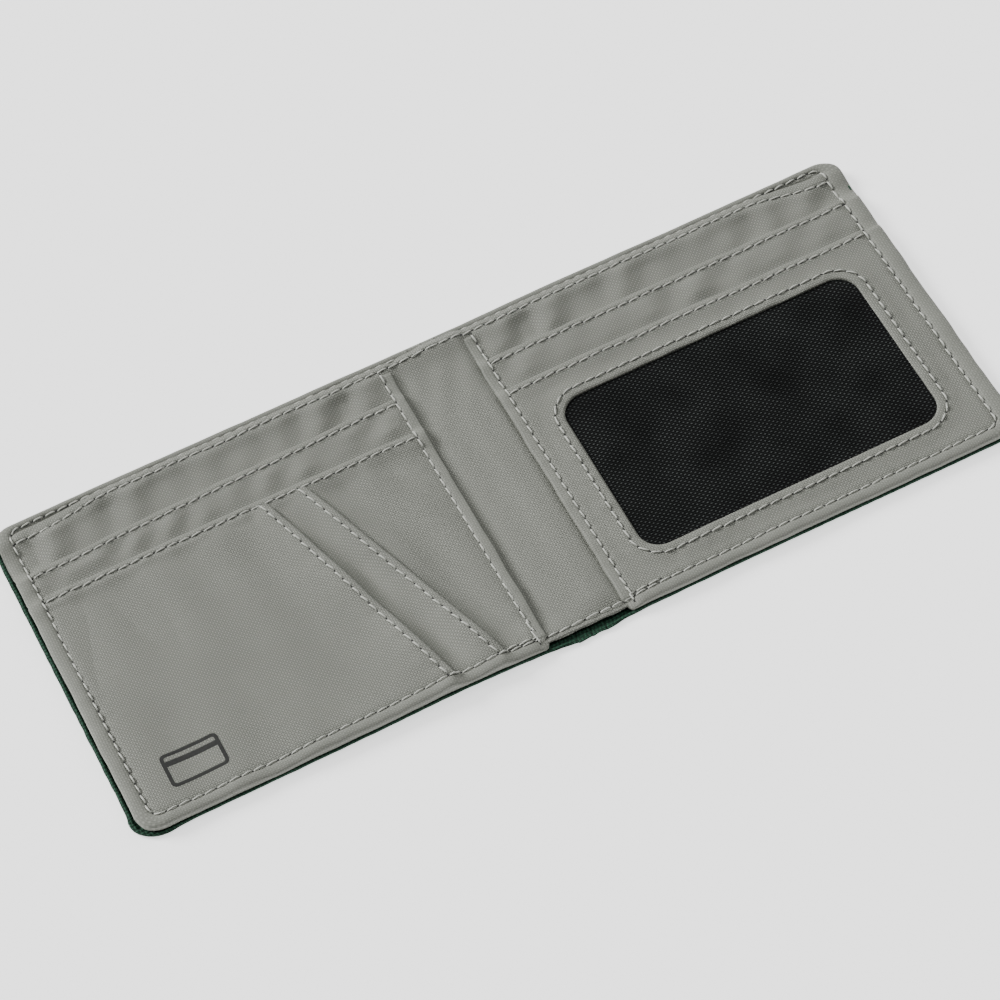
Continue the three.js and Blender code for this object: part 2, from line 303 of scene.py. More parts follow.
def hollows(x, y):
    """Soft relief that all layers of the left stack share: the two slanted pockets stand open a little,
    so the cloth rises to each slanted hem and falls away into bays beside it."""
    from_front, from_rear = x - front_slant(y), x - rear_slant(y)
    beside_front = 0.9 * smooth((from_front + 13) / 12) - 1.85 * smooth((from_front + 0.4) / 3.6)
    beside_front = beside_front + 1.25 * smooth((from_front - 4) / 4) - 0.3 * smooth((from_front - 9) / 5)
    bays = 0.82 + 0.3 * np.cos(2 * math.pi * (y + 7) / 23)
    front_share = smooth((17 - y) / 13) * bays
    beside_rear = 0.6 * smooth((from_rear + 6) / 5.5) - 1.3 * smooth((from_rear + 0.4) / 3.4)
    beside_rear = beside_rear + 0.7 * smooth((from_rear - 5) / 4)
    rear_share = 0.2 + 0.8 * smooth((-4 - y) / 18)
    relief = beside_front * front_share + beside_rear * rear_share
    relief = relief + 0.4 * smooth((from_front - 4) / 4) * waves(x, y, 23, (9, 19), (-0.2, 0.9))
    return relief * smooth((-x - 10) / 4) * smooth((21 - y) / 6) * smooth((y + 42.6) / 7)


def stack_pull(x, y, seed):
    """The pull of the seams round one stack of pockets."""
    inner = np.abs(x) - INNER_SEAM_X
    return seam_pull(seam_distance(x, y), along_seam(x, y), seed) + seam_pull(inner, y, seed + 1, 0.2)


def inner_panel_height(x, y):
    """The bill compartment's front wall: its mouth hem, rumpled strips, and folds over the spine."""
    hem = mouth_hem(x)
    z = INNER_TOP + hem_profile(hem - y, 0.55, mouth_inset(x)) * band_swell(x, 31)
    z = z + seam_pull(np.abs(y - hem + mouth_inset(x)), x, 32, 0.0)
    z = z + 0.45 * smooth((y - 35) / 8) * smooth((100 - np.abs(x)) / 18)
    next_hem = np.where(x < 0, upper_hem_left(x), upper_hem_right(x))
    slots = smooth((y - next_hem + 1) / 3) * smooth((hem - 2.2 - y) / 3) * smooth((np.abs(x) - 12) / 3)
    z = z + 0.85 * slots * np.maximum(waves(x, y, 33, (8, 22), (-0.7, 0.7)), -1)
    spine = smooth((10.5 - np.abs(x)) / 2.5) * smooth((y + 43) / 5)
    folds = 0.9 * smooth((x + 7.5) / 15) - 0.42 * bell(x + 8.0, 2.2) + 0.2 * bell(x - 3.0 + 0.05 * y, 2.6)
    folds = folds - 0.2 * bell(x - 9.6, 0.7) + 0.24 * waves(x, y, 34, (14, 30), (-0.5, 0.6))
    folds = folds + 0.2 * smooth((y - 16) / 16) * waves(x, y, 35, (6, 11), (-0.5, 0.3))
    z = z + spine * folds
    z = z + smooth((11 - np.abs(x)) / 2) * hem_profile(y - SPINE_HEM_Y, 0.36, SPINE_HEM_WIDTH, 0.0)
    return z + seam_pull(seam_distance(x, y), along_seam(x, y), 36)


def backing_height(x, y):
    """The backing of both stacks: it covers the inner panel from just below the mouth hem's stitches."""
    below_row = smooth((mouth_row(x) - y) / 1.6)
    return inner_panel_height(x, y) + (BACKING_TOP - INNER_TOP) * below_row + 0.03 + hollows(x, y)


def slot_height(top, hem, seed, amount, next_hem):
    """A straight pocket panel. Its visible strip, down to the next hem, is softly rumpled."""
    def height(x, y):
        d = hem(x) - y
        z = top + hem_profile(d) * band_swell(x, seed)
        z = z + seam_pull(np.abs(d - HEM_WIDTH), x, seed + 1, 0.0)
        rumples = 0.6 + np.maximum(waves(x, y, seed + 2, (8, 22), (-0.6, 0.6)), -0.8)
        z = z + amount * smooth((y - next_hem(x)) / 3) * smooth((d - 2) / 3) * rumples
        return z + stack_pull(x, y, seed + 3) + hollows(x, y)

    return height


upper_left_height = slot_height(UPPER_TOP, upper_hem_left, 50, 0.7, lower_hem_left)
upper_right_height = slot_height(UPPER_TOP, upper_hem_right, 60, 0.8, window_hem)
lower_flat_height = slot_height(LOWER_TOP, lower_hem_left, 70, 0.1, fixed(17))


def lower_left_height(x, y):
    """The lower slot's panel, which shows between the slanted pockets and the spine."""
    d = lower_hem_left(x) - y
    z = lower_flat_height(x, y) + 0.25 * smooth((9 - d) / 8)
    return z + 0.16 * waves(x, y, 73, (14, 30)) * smooth((d - 3) / 6)


def slanted_height(top, slant, seed, clearance):
    """A slanted pocket panel: it comes out from under the lower slot's hem and stays over that slot."""
    lean = 0.95  # from a distance along x to one square to the hem
    over_threads = OVER_THREADS - top

    def height(x, y):
        d = (slant(y) - x) * lean
        z = top + 0.35 * smooth((10 - d) / 9) + hem_profile(d, 0.5, tilt=-0.3) * band_swell(y, seed)
        z = z + seam_pull(np.abs(d - HEM_WIDTH), y, seed + 1, 0.0)
        z = z + 0.24 * smooth((d - 3) / 8) * waves(x, y, seed + 2, (30, 70))
        z = z + 0.26 * smooth((d - 4) / 9) * waves(x, y, seed + 5, (14, 28), (-0.5, 0.9))
        under_hem = lower_hem_left(x) - HEM_WIDTH - y
        z = z + over_threads * bell(under_hem, 2.4) + seam_pull(under_hem, x, seed + 4, 0.12)
        clear = smooth(under_hem / 1.3)
        over_slot = lower_left_height(x, y) + clearance * clear - 0.12 * (1 - clear)
        return np.maximum(z + stack_pull(x, y, seed + 3) + hollows(x, y), over_slot)

    return height


front_height = slanted_height(FRONT_TOP, front_slant, 80, 0.26)
rear_height = slanted_height(REAR_TOP, rear_slant, 90, 0.1)


def window_frame_height(x, y):
    """The window's frame panel, with a straight hem above and a round one along the opening."""
    d = window_hem(x) - y
    edge = window_distance(x, y)
    around = np.arctan2(y + 10, x - WINDOW_X) * 40  # about the length along the opening
    z = FRAME_TOP + hem_profile(d, 0.55) * band_swell(x, 100)
    z = z + seam_pull(np.abs(d - HEM_WIDTH), x, 101, 0.0)
    z = z + hem_profile(edge, 0.42, WINDOW_SEAM_INSET, 0.0) * band_swell(around, 102)
    z = z + seam_pull(np.abs(edge - WINDOW_SEAM_INSET), around, 103, 0.0)
    z = z + 0.17 * smooth((edge - 3) / 4) * waves(x, y, 104, (10, 26))
    return z + stack_pull(x, y, 105)


def window_mesh_height(x, y):
    """The mesh behind the opening: loosely stretched, so it swells a little away from the edge."""
    inside = smooth((-window_distance(x, y) + 1) / 14)
    return MESH_TOP + inside * (0.13 + 0.15 * np.maximum(waves(x, y, 110, (20, 50), (0.9, 2.3)), -1.2))


def surface(x, y):
    """Height of the topmost cloth at (x, y)."""
    x, y = np.asarray(x, float), np.asarray(y, float)
    left, right = x < -STACK_LIMIT, x > STACK_LIMIT
    under_hem = left & (y < lower_hem_left(x) - HEM_WIDTH - 0.15)
    z = inner_panel_height(x, y)
    for covered, height in (
        ((left | right) & (y < mouth_row(x) - 0.15), backing_height),
        (left & (y < upper_hem_left(x)), upper_left_height),
        (left & (y < lower_hem_left(x)), lower_left_height),
        (under_hem & (x < rear_slant(y)), rear_height),
        (under_hem & (x < front_slant(y)), front_height),
        (right & (y < upper_hem_right(x)), upper_right_height),
        (right & (y < window_hem(x)) & (window_distance(x, y) > 0), window_frame_height),
        (right & (window_distance(x, y) <= 0), window_mesh_height),
    ):
        z = np.where(covered, height(x, y), z)
    return z


# ------------------------------------------------------------ materials


class Nodes:
    """A small helper to write node trees in few lines."""

    def __init__(self, name):
        self.material = bpy.data.materials.new(name)
        self.material.use_nodes = True
        self.tree = self.material.node_tree
        self.shader = self.tree.nodes["Principled BSDF"]

    def add(self, kind, **values):
        node = self.tree.nodes.new(kind)
        for key, value in values.items():
            setattr(node, key, value)
        return node

    def feed(self, socket, value):
        if isinstance(value, bpy.types.NodeSocket):
            self.tree.links.new(value, socket)
        else:
            socket.default_value = value

    def math(self, operation, a, b=0.0, c=0.0, clamp=False):
        node = self.add("ShaderNodeMath", operation=operation, use_clamp=clamp)
        for socket, value in zip(node.inputs, (a, b, c)):
            self.feed(socket, value)
        return node.outputs[0]

    def half_waves(self, place):
        """A sine that crosses zero at every whole number."""
        return self.math("SINE", self.math("MULTIPLY", place, math.pi))

    def mix(self, factor, a, b):
        node = self.add("ShaderNodeMix", data_type="RGBA")
        for number, value in ((0, factor), (6, a), (7, b)):
            self.feed(node.inputs[number], value)
        return node.outputs[2]

    def scaled(self, colour, amount):
        node = self.add("ShaderNodeVectorMath", operation="SCALE")
        self.feed(node.inputs[0], colour)
        self.feed(node.inputs["Scale"], amount)
        return node.outputs[0]

    def noise(self, vector, scale, detail=3.0):
        node = self.add("ShaderNodeTexNoise")
        for socket, value in (("Vector", vector), ("Scale", scale), ("Detail", detail)):
            self.feed(node.inputs[socket], value)
        return node.outputs["Fac"]

    def cloth_place(self, pitch_u, pitch_v, turn=0.0):
        """The UV map, in millimetres of cloth, and its two coordinates counted in yarns."""
        uv = self.add("ShaderNodeUVMap", uv_map="cloth").outputs[0]
        turned = self.add("ShaderNodeMapping")
        turned.inputs["Rotation"].default_value = (0, 0, math.radians(turn))
        turned.inputs["Scale"].default_value = (1 / pitch_u, 1 / pitch_v, 1)
        self.feed(turned.inputs["Vector"], uv)
        parts = self.add("ShaderNodeSeparateXYZ")
        self.feed(parts.inputs[0], turned.outputs[0])
        return uv, parts.outputs[0], parts.outputs[1]

    def bump(self, height, distance):
        node = self.add("ShaderNodeBump")
        node.inputs["Strength"].default_value = 1.0
        node.inputs["Distance"].default_value = distance
        self.feed(node.inputs["Height"], height)
        self.set(Normal=node.outputs[0])

    def set(self, **values):
        for key, value in values.items():
            self.feed(self.shader.inputs[key.replace("_", " ")], value)


def grey(value, tint=(1.0, 1.0, 1.0)):
    return (value * tint[0], value * tint[1], value * tint[2], 1.0)


def yarn_heights(n, u, v):
    """Plain weave: (height, which yarn is on top from -1 to 1)."""
    across_u, across_v = n.half_waves(u), n.half_waves(v)
    over = n.math("MULTIPLY", across_u, across_v)
    warp = n.math("MULTIPLY", n.math("ABSOLUTE", across_u), n.math("MULTIPLY_ADD", over, 0.45, 0.55))
    weft = n.math("MULTIPLY", n.math("ABSOLUTE", across_v), n.math("MULTIPLY_ADD", over, -0.45, 0.55))
    return n.math("MAXIMUM", warp, weft), over


def woven(name, gap, yarn, pitch, relief, yarn_sheen_contrast, roughness=0.62, sheen=0.08, specular=0.3, metallic=0.0):
    """Woven cloth: yarns over darker gaps, which drift a little and vary in tone, with a painted sheen of
    warp against weft.
    """
    n = Nodes(name)
    uv, u, v = n.cloth_place(pitch, pitch)
    shift = n.math("MULTIPLY", n.noise(uv, 0.09, 2.0), 1.1)
    height, over = yarn_heights(n, n.math("ADD", u, shift), n.math("ADD", v, shift))
    slub = n.noise(uv, 3.1, 2.0)
    # painted sheen: the yarn on top at each crossing is lighter or darker by the contrast, as warp and weft
    # catch the light differently
    tone = n.math("MULTIPLY_ADD", over, yarn_sheen_contrast, n.math("MULTIPLY_ADD", slub, 0.16, 0.92))
    wear = n.noise(uv, 0.045)
    tone = n.math("MULTIPLY", tone, n.math("MULTIPLY_ADD", wear, 0.14, 0.93))
    base = n.mix(n.math("MULTIPLY", height, 1.25, clamp=True), gap, yarn)
    n.set(Base_Color=n.scaled(base, tone))
    n.set(Roughness=n.math("MULTIPLY_ADD", slub, 0.12, roughness - 0.06))
    n.bump(height, relief * MM)
    n.set(Sheen_Weight=sheen, Sheen_Roughness=0.45, Specular_IOR_Level=specular, Metallic=metallic)
    return n.material


def mesh_material():
    """Black knitted mesh: staggered loops over dark openings. The loops are painted grey with their sheen,
    and soft blotches of painted light and shade stand for the mesh's undulation.
    """
    n = Nodes("window_knit")
    uv, u, v = n.cloth_place(0.78, 0.58, turn=3)
    across_u, across_v = n.half_waves(u), n.half_waves(v)
    loops = n.math("MULTIPLY", across_u, across_v)
    height = n.math("MAXIMUM", loops, n.math("MULTIPLY", n.math("ABSOLUTE", across_v), 0.3), clamp=True)
    slub = n.math("MULTIPLY_ADD", n.noise(uv, 2.2, 2.0), 0.7, 0.65)
    # painted light and shade: soft blotches that stand for the mesh's undulation
    stretch = n.math("MULTIPLY_ADD", n.noise(uv, 0.07, 1.0), 2.6, -0.75, clamp=True)
    loop_tone_and_shading = n.math("MULTIPLY", slub, n.math("MULTIPLY_ADD", stretch, 0.6, 0.55))
    factor = n.math("MULTIPLY", n.math("POWER", height, 1.6), loop_tone_and_shading, clamp=True)
    # painted sheen: the loops' grey over black yarn stands for their gloss
    n.set(Base_Color=n.mix(factor, grey(0.0025), grey(0.085, (0.92, 1.0, 0.98))))
    n.bump(height, 0.2 * MM)
    n.set(Roughness=0.7, Specular_IOR_Level=0.03)
    return n.material


def plain_material(name, colour, roughness, noise_scale, amount, relief=0.0, specular=0.3):
    """A surface with fine uneven tone, for thread, ink and the painted shade of needle holes."""
    n = Nodes(name)
    place = n.add("ShaderNodeTexCoord").outputs["Object"]
    grain = n.noise(place, noise_scale, 4.0)
    n.set(Base_Color=n.scaled(colour[:3], n.math("MULTIPLY_ADD", grain, amount, 1 - amount / 2)))
    if relief:
        n.bump(grain, relief * MM)
    n.set(Roughness=roughness, Specular_IOR_Level=specular)
    return n.material


LINING_TINT = (1.0, 1.03, 0.9)
THREAD_TINT = (1.0, 1.02, 0.93)
INK_TINT = (1.0, 1.02, 0.98)
CANVAS_GAP, CANVAS_YARN = (0.002, 0.006, 0.004, 1), (0.022, 0.074, 0.043, 1)
lining_cloth = woven("lining_nylon", grey(0.1, LINING_TINT), grey(0.29, LINING_TINT), 0.5, 0.1, 0.24)
lining_edge = woven("lining_folded_edge", grey(0.17, LINING_TINT), grey(0.27, LINING_TINT), 0.56, 0.06, 0.12)
shell_cloth = woven("shell_canvas", CANVAS_GAP, CANVAS_YARN, 0.95, 0.25, 0.1, 0.75, 0.02, 0.2)
foil_cloth = woven("shield_foil", grey(0.4), grey(0.62), 0.35, 0.03, 0.02, 0.35, 0.0, metallic=0.8)
window_knit = mesh_material()
thread_material = plain_material("sewing_thread", grey(0.56, THREAD_TINT), 0.5, 2500, 0.3)
# painted shade: dark discs that stand for the shade inside the needle holes
hole_shade_material = plain_material("needle_hole", grey(0.04), 0.9, 900, 0.3, 0.0, 0.1)
green_thread = plain_material("shell_thread", (0.05, 0.13, 0.085, 1), 0.55, 2500, 0.3)
ink_material = plain_material("print_ink", grey(0.042, INK_TINT), 0.7, 1500, 0.6, 0.02, 0.1)

# ------------------------------------------------------------ mesh building


def new_piece(name, points, faces, materials, uv=None, sharp=None, face_materials=None):
    """An object from points in millimetres. The lift of the whole wallet is added here.
    sharp holds one group number per vertex: edges inside group 1 or above stay sharp."""
    points = np.array(points, float)
    if uv is None:
        uv = points[:, :2]
    points[:, 2] += lift(points[:, 0], points[:, 1])
    mesh = bpy.data.meshes.new(name)
    mesh.from_pydata((points * MM).tolist(), [], [list(map(int, face)) for face in faces])
    layer = mesh.uv_layers.new(name="cloth")
    corner_vertex = np.zeros(len(mesh.loops), np.int32)
    mesh.loops.foreach_get("vertex_index", corner_vertex)
    layer.data.foreach_set("uv", np.asarray(uv, np.float32)[corner_vertex].ravel())
    mesh.polygons.foreach_set("use_smooth", np.ones(len(mesh.polygons), bool))
    for material in materials:
        mesh.materials.append(material)
    if face_materials is not None:
        mesh.polygons.foreach_set("material_index", np.asarray(face_materials, np.int32))
    if sharp is not None:
        ends = np.zeros(len(mesh.edges) * 2, np.int32)
        mesh.edges.foreach_get("vertices", ends)
        groups = np.asarray(sharp)[ends.reshape(-1, 2)]
        marks = (groups[:, 0] > 0) & (groups[:, 0] == groups[:, 1])
        attribute = mesh.attributes.new("sharp_edge", "BOOLEAN", "EDGE")
        attribute.data.foreach_set("value", marks)
    mesh.update()
    piece = bpy.data.objects.new(name, mesh)
    bpy.context.scene.collection.objects.link(piece)
    return piece


def grid_faces(index, wrap=False, flip=False):
    """Quads over a grid of vertex numbers. They face up where columns run along x and rows along y.
    With wrap the last column joins the first."""
    if wrap:
        index = np.concatenate([index, index[..., :1]], axis=-1)
    corners = [index[..., :-1, :-1], index[..., :-1, 1:], index[..., 1:, 1:], index[..., 1:, :-1]]
    if flip:
        corners = corners[::-1]
    return np.stack(corners, axis=-1).reshape(-1, 4)


def closed_sheet(name, x, y, top, thickness, material, rings=False):
    """Closed thin cloth over a grid of places, with columns along x and rows along y. With rings=True
    the rows are closed rings instead, which run anticlockwise, from the innermost to the outermost."""
    count = x.size
    index = np.arange(count).reshape(x.shape)
    if rings:
        borders = [index[0, ::-1], index[-1]]
    else:
        borders = [np.concatenate([index[0, :-1], index[:-1, -1], index[-1, :0:-1], index[:0:-1, 0]])]
    faces = [grid_faces(index, rings, flip=rings), grid_faces(index + count, rings, flip=not rings)]
    sharp = np.zeros(2 * count, int)
    for k, border in enumerate(borders):
        following = np.roll(border, -1)
        faces.append(np.stack([border + count, following + count, following, border], axis=1))
        sharp[border] = 2 * k + 1
        sharp[border + count] = 2 * k + 2
    upper = np.stack([x, y, top], axis=-1).reshape(-1, 3)
    points = np.concatenate([upper, upper - (0, 0, thickness)])
    return new_piece(name, points, np.concatenate(faces), [material], sharp=sharp)


# Distances from an edge at which a sheet's grid has a line
SEAM_EDGE = (0, 0.35, 0.7, 1.1, 1.6, 2.3, 3.2)
HEM_EDGE = (0, 0.07, 0.16, 0.3, 0.5, 0.8, 1.15, 1.4, 1.6, 1.8, 2.0, 2.2, 2.5, 2.9, 3.3, 3.8, 4.5)
SPINE_HEM_EDGE = HEM_EDGE[:14]
LINING_EDGE = (0, 0.5, 0.9, 1.3, 1.7, 2.1, 2.5, 2.9, 3.3, 3.8)
PLAIN_EDGE = (0, 0.8)
CUT_EDGE = (0,)


def template(length, edges, step):
    """(shares, offsets) of the places along a stretch: fixed offsets at both ends, even steps between."""
    near, far = np.array(edges[0], float), np.array(edges[1], float)
    count = max(2, int(round((length - near[-1] - far[-1]) / step)) - 1)
    share = np.linspace(0, 1, count + 2)[1:-1]
    shares = np.concatenate([0 * near, share, 0 * far + 1])
    offsets = np.concatenate([near, near[-1] * (1 - share) - far[-1] * share, -far[::-1]])
    return shares, offsets


def sheet_grid(left, right, bottom, top, x_edges, y_edges, step):
    """A grid fitted between left(y), right(y), bottom(x) and top(x)."""
    x_middle = (left(0.0) + right(0.0)) / 2
    x_share, x_offset = template(float(right(0.0) - left(0.0)), x_edges, step[0])
    y_share, y_offset = template(float(top(x_middle) - bottom(x_middle)), y_edges, step[1])
    x = np.tile(left(0.0) + (right(0.0) - left(0.0)) * x_share + x_offset, (len(y_share), 1))
    for _ in range(4):
        y = bottom(x) + (top(x) - bottom(x)) * y_share[:, None] + y_offset[:, None]
        x = left(y) + (right(y) - left(y)) * x_share + x_offset
    return x, y


def box_grid(x_ends, y_ends, step):
    """A plain grid over a rectangle."""
    sides = [fixed(value) for value in (*x_ends, *y_ends)]
    return sheet_grid(*sides, (PLAIN_EDGE, PLAIN_EDGE), (PLAIN_EDGE, PLAIN_EDGE), (step, step))


def round_corners(x, y, low_corner, high_corner, radius, corners):
    """Pushes the grid's square corners in to arcs. corners are pairs of signs."""
    for sx, sy in corners:
        cx = (high_corner[0] if sx > 0 else low_corner[0]) - sx * radius
        cy = (high_corner[1] if sy > 0 else low_corner[1]) - sy * radius
        a, b = (x - cx) * sx, (y - cy) * sy
        inside = (a > 0) & (b > 0)
        scale = np.where(inside, np.maximum(a, b) / np.maximum(np.hypot(a, b), 1e-9), 1.0)
        x, y = np.where(inside, cx + sx * a * scale, x), np.where(inside, cy + sy * b * scale, y)
    return x, y


# ------------------------------------------------------------ riding and declaring

LEFT, RIGHT = "left_half", "right_half"
STRIPS = ("spine_strip_1", "spine_strip_2", "spine_strip_3")

# A part of a sheet that crosses the fold: its x range, the two bodies and the range that it bends over,
# and the endings of the CAD nodes that it stands for
FoldPart = namedtuple("FoldPart", "name start end before after bend_start bend_end nodes")
FOLD_PARTS = (
    FoldPart("left", -FAR, -STRIP, LEFT, STRIPS[0], -2 * STRIP, -STRIP, ("left",)),
    FoldPart("spine_left", -STRIP, 0.0, STRIPS[0], STRIPS[1], -STRIP, 0.0, ("spine_1", "spine_2")),
    FoldPart("spine_right", 0.0, STRIP, STRIPS[1], STRIPS[2], 0.0, STRIP, ("spine_3",)),
    FoldPart("right", STRIP, FAR, STRIPS[2], RIGHT, STRIP, 2 * STRIP, ("right",)),
)
SPINE_PARTS = FOLD_PARTS[1:3]
HALVES = ((-1, "left", LEFT, FOLD_PARTS[0]), (1, "right", RIGHT, FOLD_PARTS[3]))


def declare(piece, nodes=(), body=None, part=None):
    """Hides the CAD parts that a piece stands for, and hangs the piece on its body; a part of a sheet at the
    fold only has its transform baked into its mesh.
    """
    if nodes:
        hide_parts(*nodes)
    if part:
        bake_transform(piece)
    else:
        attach(piece, body)


def flat_cut(width, length):
    return (float(width) * MM, float(length) * MM)


# ------------------------------------------------------------ pocket panels

SIDE_EDGE = SEAM_X - 0.05
BOTTOM_EDGE = BOTTOM_SEAM_Y + 0.05
LINING_STEP = (0.85, 1.1)
BACKING_STEP = (0.85, 1.2)


def sewn_corners(x, y, corners):
    """Rounds the corners of a sheet that is sewn down by the round seam."""
    return round_corners(x, y, (-SIDE_EDGE, BOTTOM_EDGE), (SIDE_EDGE, FAR), SEAM_RADIUS, corners)


def half_panel(name, side, top, height, node, step=LINING_STEP, hem_edge=HEM_EDGE):
    """A pocket panel of one half, from its inner seam to its outer one and up to its hem."""
    inner, outer = fixed(side * STACK_LIMIT), fixed(side * SIDE_EDGE)
    left, right = (outer, inner) if side < 0 else (inner, outer)
    edges = (SEAM_EDGE, SEAM_EDGE), (SEAM_EDGE, hem_edge)
    x, y = sheet_grid(left, right, fixed(BOTTOM_EDGE), top, *edges, step)
    x, y = sewn_corners(x, y, [(side, -1)])
    piece = closed_sheet(name, x, y, height(x, y), CLOTH, lining_cloth)
    declare(piece, [node], LEFT if side < 0 else RIGHT)
    flat_cut(np.ptp(x), np.ptp(y))


def backing_top(x):
    return mouth_row(x) - 0.15


half_panel("backing_left", -1, backing_top, backing_height, "stack_backing_left", BACKING_STEP, SEAM_EDGE)
half_panel("backing_right", 1, backing_top, backing_height, "stack_backing_right", BACKING_STEP, SEAM_EDGE)
half_panel("upper_slot_left", -1, upper_hem_left, upper_left_height, "upper_slot_panel_left")
half_panel("upper_slot_right", 1, upper_hem_right, upper_right_height, "upper_slot_panel_right")
half_panel("lower_slot_left", -1, lower_hem_left, lower_left_height, "lower_slot_panel_left")


def slanted_panel(name, slant, height, node):
    """A pocket whose free edge runs aslant, from under the lower slot's hem to the bottom seam."""
    def top(x):
        return lower_hem_left(x) - HEM_WIDTH

    edges = (SEAM_EDGE, HEM_EDGE), (SEAM_EDGE, SEAM_EDGE)
    x, y = sheet_grid(fixed(-SIDE_EDGE), slant, fixed(BOTTOM_EDGE), top, *edges, LINING_STEP)
    x, y = sewn_corners(x, y, [(-1, -1)])
    piece = closed_sheet(name, x, y, height(x, y), CLOTH, lining_cloth)
    declare(piece, [node], LEFT)
    area = 0.5 * (np.ptp(x[0]) + np.ptp(x[-1])) * np.ptp(y) * MM * MM
    flat_cut(np.ptp(x), np.ptp(y))


slanted_panel("slanted_pocket_rear", rear_slant, rear_height, "slanted_panel_rear")
slanted_panel("slanted_pocket_front", front_slant, front_height, "slanted_panel_front")

# ------------------------------------------------------------ window

WINDOW_ARC_POINTS = 12
WINDOW_SIDE_POINTS = [int(length * 1.1) for length in WINDOW_HIGH - WINDOW_LOW - 2 * WINDOW_RADIUS]
window_loop = rounded_loop(WINDOW_LOW, WINDOW_HIGH, WINDOW_RADIUS, WINDOW_ARC_POINTS, WINDOW_SIDE_POINTS)

# Distances of the frame's rings from the opening, and from the panel's own edge
OPENING_RINGS = (0, 0.06, 0.14, 0.28, 0.5, 0.8, 1.2, 1.6, 1.9, 2.1, 2.3, 2.5, 2.7, 2.95, 3.2, 3.5)
PANEL_RINGS = (4.1, 3.7, 3.35, 3.0, 2.7, 2.4, 2.2, 2.0, 1.8, 1.6, 1.35, 1.1, 0.8, 0.5, 0.3, 0.16, 0.07, 0)


def window_frame():
    """The window's frame panel: rings of cloth from the folded opening out to the seams and the slot hem."""
    points, outward, side = window_loop
    x0, x1, y0 = STACK_LIMIT, SIDE_EDGE, BOTTOM_EDGE
    ends = np.array([(x0, y0), (x1, y0), (x1, window_hem(x1)), (x0, window_hem(x0))])
    outer = np.zeros_like(points)
    for k in range(4):
        mine = np.flatnonzero(side == k)
        if k == 0:  # the loop starts near the end of this side
            mine = np.roll(mine, -int((mine < len(side) / 2).sum()))
        share = ((np.arange(len(mine)) + 0.5) / len(mine))[:, None]
        outer[mine] = ends[k] + (ends[(k + 1) % 4] - ends[k]) * share
    outer[side == 2, 1] = window_hem(outer[side == 2, 0])
    outer = np.stack(sewn_corners(outer[:, 0], outer[:, 1], [(1, -1)]), axis=1)
    rings = [points + outward * distance for distance in OPENING_RINGS]
    start = rings[-1]
    away = (start - outer) / np.linalg.norm(outer - start, axis=1)[:, None]
    for share in np.linspace(0, 1, 9)[1:-1]:
        rings.append(start + (outer + away * PANEL_RINGS[0] - start) * share)
    rings += [outer + away * distance for distance in PANEL_RINGS]
    x, y = np.moveaxis(np.stack(rings), -1, 0)
    piece = closed_sheet("window_frame", x, y, window_frame_height(x, y), CLOTH, lining_cloth, rings=True)
    declare(piece, ["window_frame_panel"], RIGHT)
    width, length = x1 - x0, window_hem(WINDOW_X) - y0
    flat_cut(width, length)


def window_mesh():
    """The knitted mesh behind the window's opening."""
    lows, highs = low("id_window_mesh"), high("id_window_mesh")
    x, y = box_grid((lows[0], highs[0]), (lows[1], highs[1]), 1.2)
    piece = closed_sheet("window_mesh", x, y, window_mesh_height(x, y), MESH_CLOTH, window_knit)
    declare(piece, ["id_window_mesh"], RIGHT)
    flat_cut(np.ptp(x), np.ptp(y))


window_frame()
window_mesh()

# ------------------------------------------------------------ sheets that cross the fold

SPINE_STEP = 0.6


def crossing(name, nodes, bottom, top, height, y_edges, step, reach):
    """One sheet over the whole open wallet, made in four parts that meet at the fold."""
    for part in FOLD_PARTS:
        start, end = max(part.start, -reach), min(part.end, reach)
        x_edges = (SEAM_EDGE if start <= -reach else CUT_EDGE, SEAM_EDGE if end >= reach else CUT_EDGE)
        steps = (SPINE_STEP if part in SPINE_PARTS else step[0], step[1])
        x, y = sheet_grid(fixed(start), fixed(end), bottom, top, x_edges, y_edges, steps)
        piece = closed_sheet(f"{name}_cloth_{part.name}", x, y, height(x, y), CLOTH, lining_cloth)
        declare(piece, [f"{nodes}_{ending}" for ending in part.nodes], part=part)
    size = flat_cut(reach - STRIP, np.mean(top(50.0) - bottom(50.0)))


def inner_bottom(x):
    """The inner panel ends in the bottom seam, and in a hem of its own over the spine."""
    beside_spine = smooth((np.abs(x) - 11.5) / 1.5)
    return SPINE_HEM_Y + (SPINE_HEM_WIDTH + 0.4) * beside_spine + 0.08 * ripple(x, 37, (5, 12))


def lining_height(x, y):
    """Flat behind the pockets, and up to the turned edge where it shows above the mouth hem."""
    rise = MOUTH_RIM_GROUND - 0.08 - LINING_TOP
    return LINING_TOP + rise * smooth((y - mouth_hem(x) + 0.3) / 0.9)


crossing(
    "inner_panel", "inner_panel", inner_bottom, mouth_hem, inner_panel_height,
    (SPINE_HEM_EDGE, HEM_EDGE), BACKING_STEP, SIDE_EDGE,
)
crossing(
    "bill_lining", "bill_lining", fixed(BOTTOM_SEAM_Y - 1.2), fixed(TOP_SEAM_Y + 0.9), lining_height,
    (PLAIN_EDGE, LINING_EDGE), (2.0, 3.0), SEAM_X + 1.5,
)


def foil(side, half, body):
    """The shielding sheet of one half."""
    lows, highs = low("rfid_foil_right"), high("rfid_foil_right")
    x, y = box_grid(sorted((side * lows[0], side * highs[0])), (lows[1], highs[1]), 3.0)
    piece = closed_sheet(f"shield_foil_{half}", x, y, FOIL_TOP + 0 * x, FOIL_CLOTH, foil_cloth)
    declare(piece, [f"rfid_foil_{half}"], body)
    flat_cut(np.ptp(x), np.ptp(y))


for side, half, body, part in HALVES:
    foil(side, half, body)

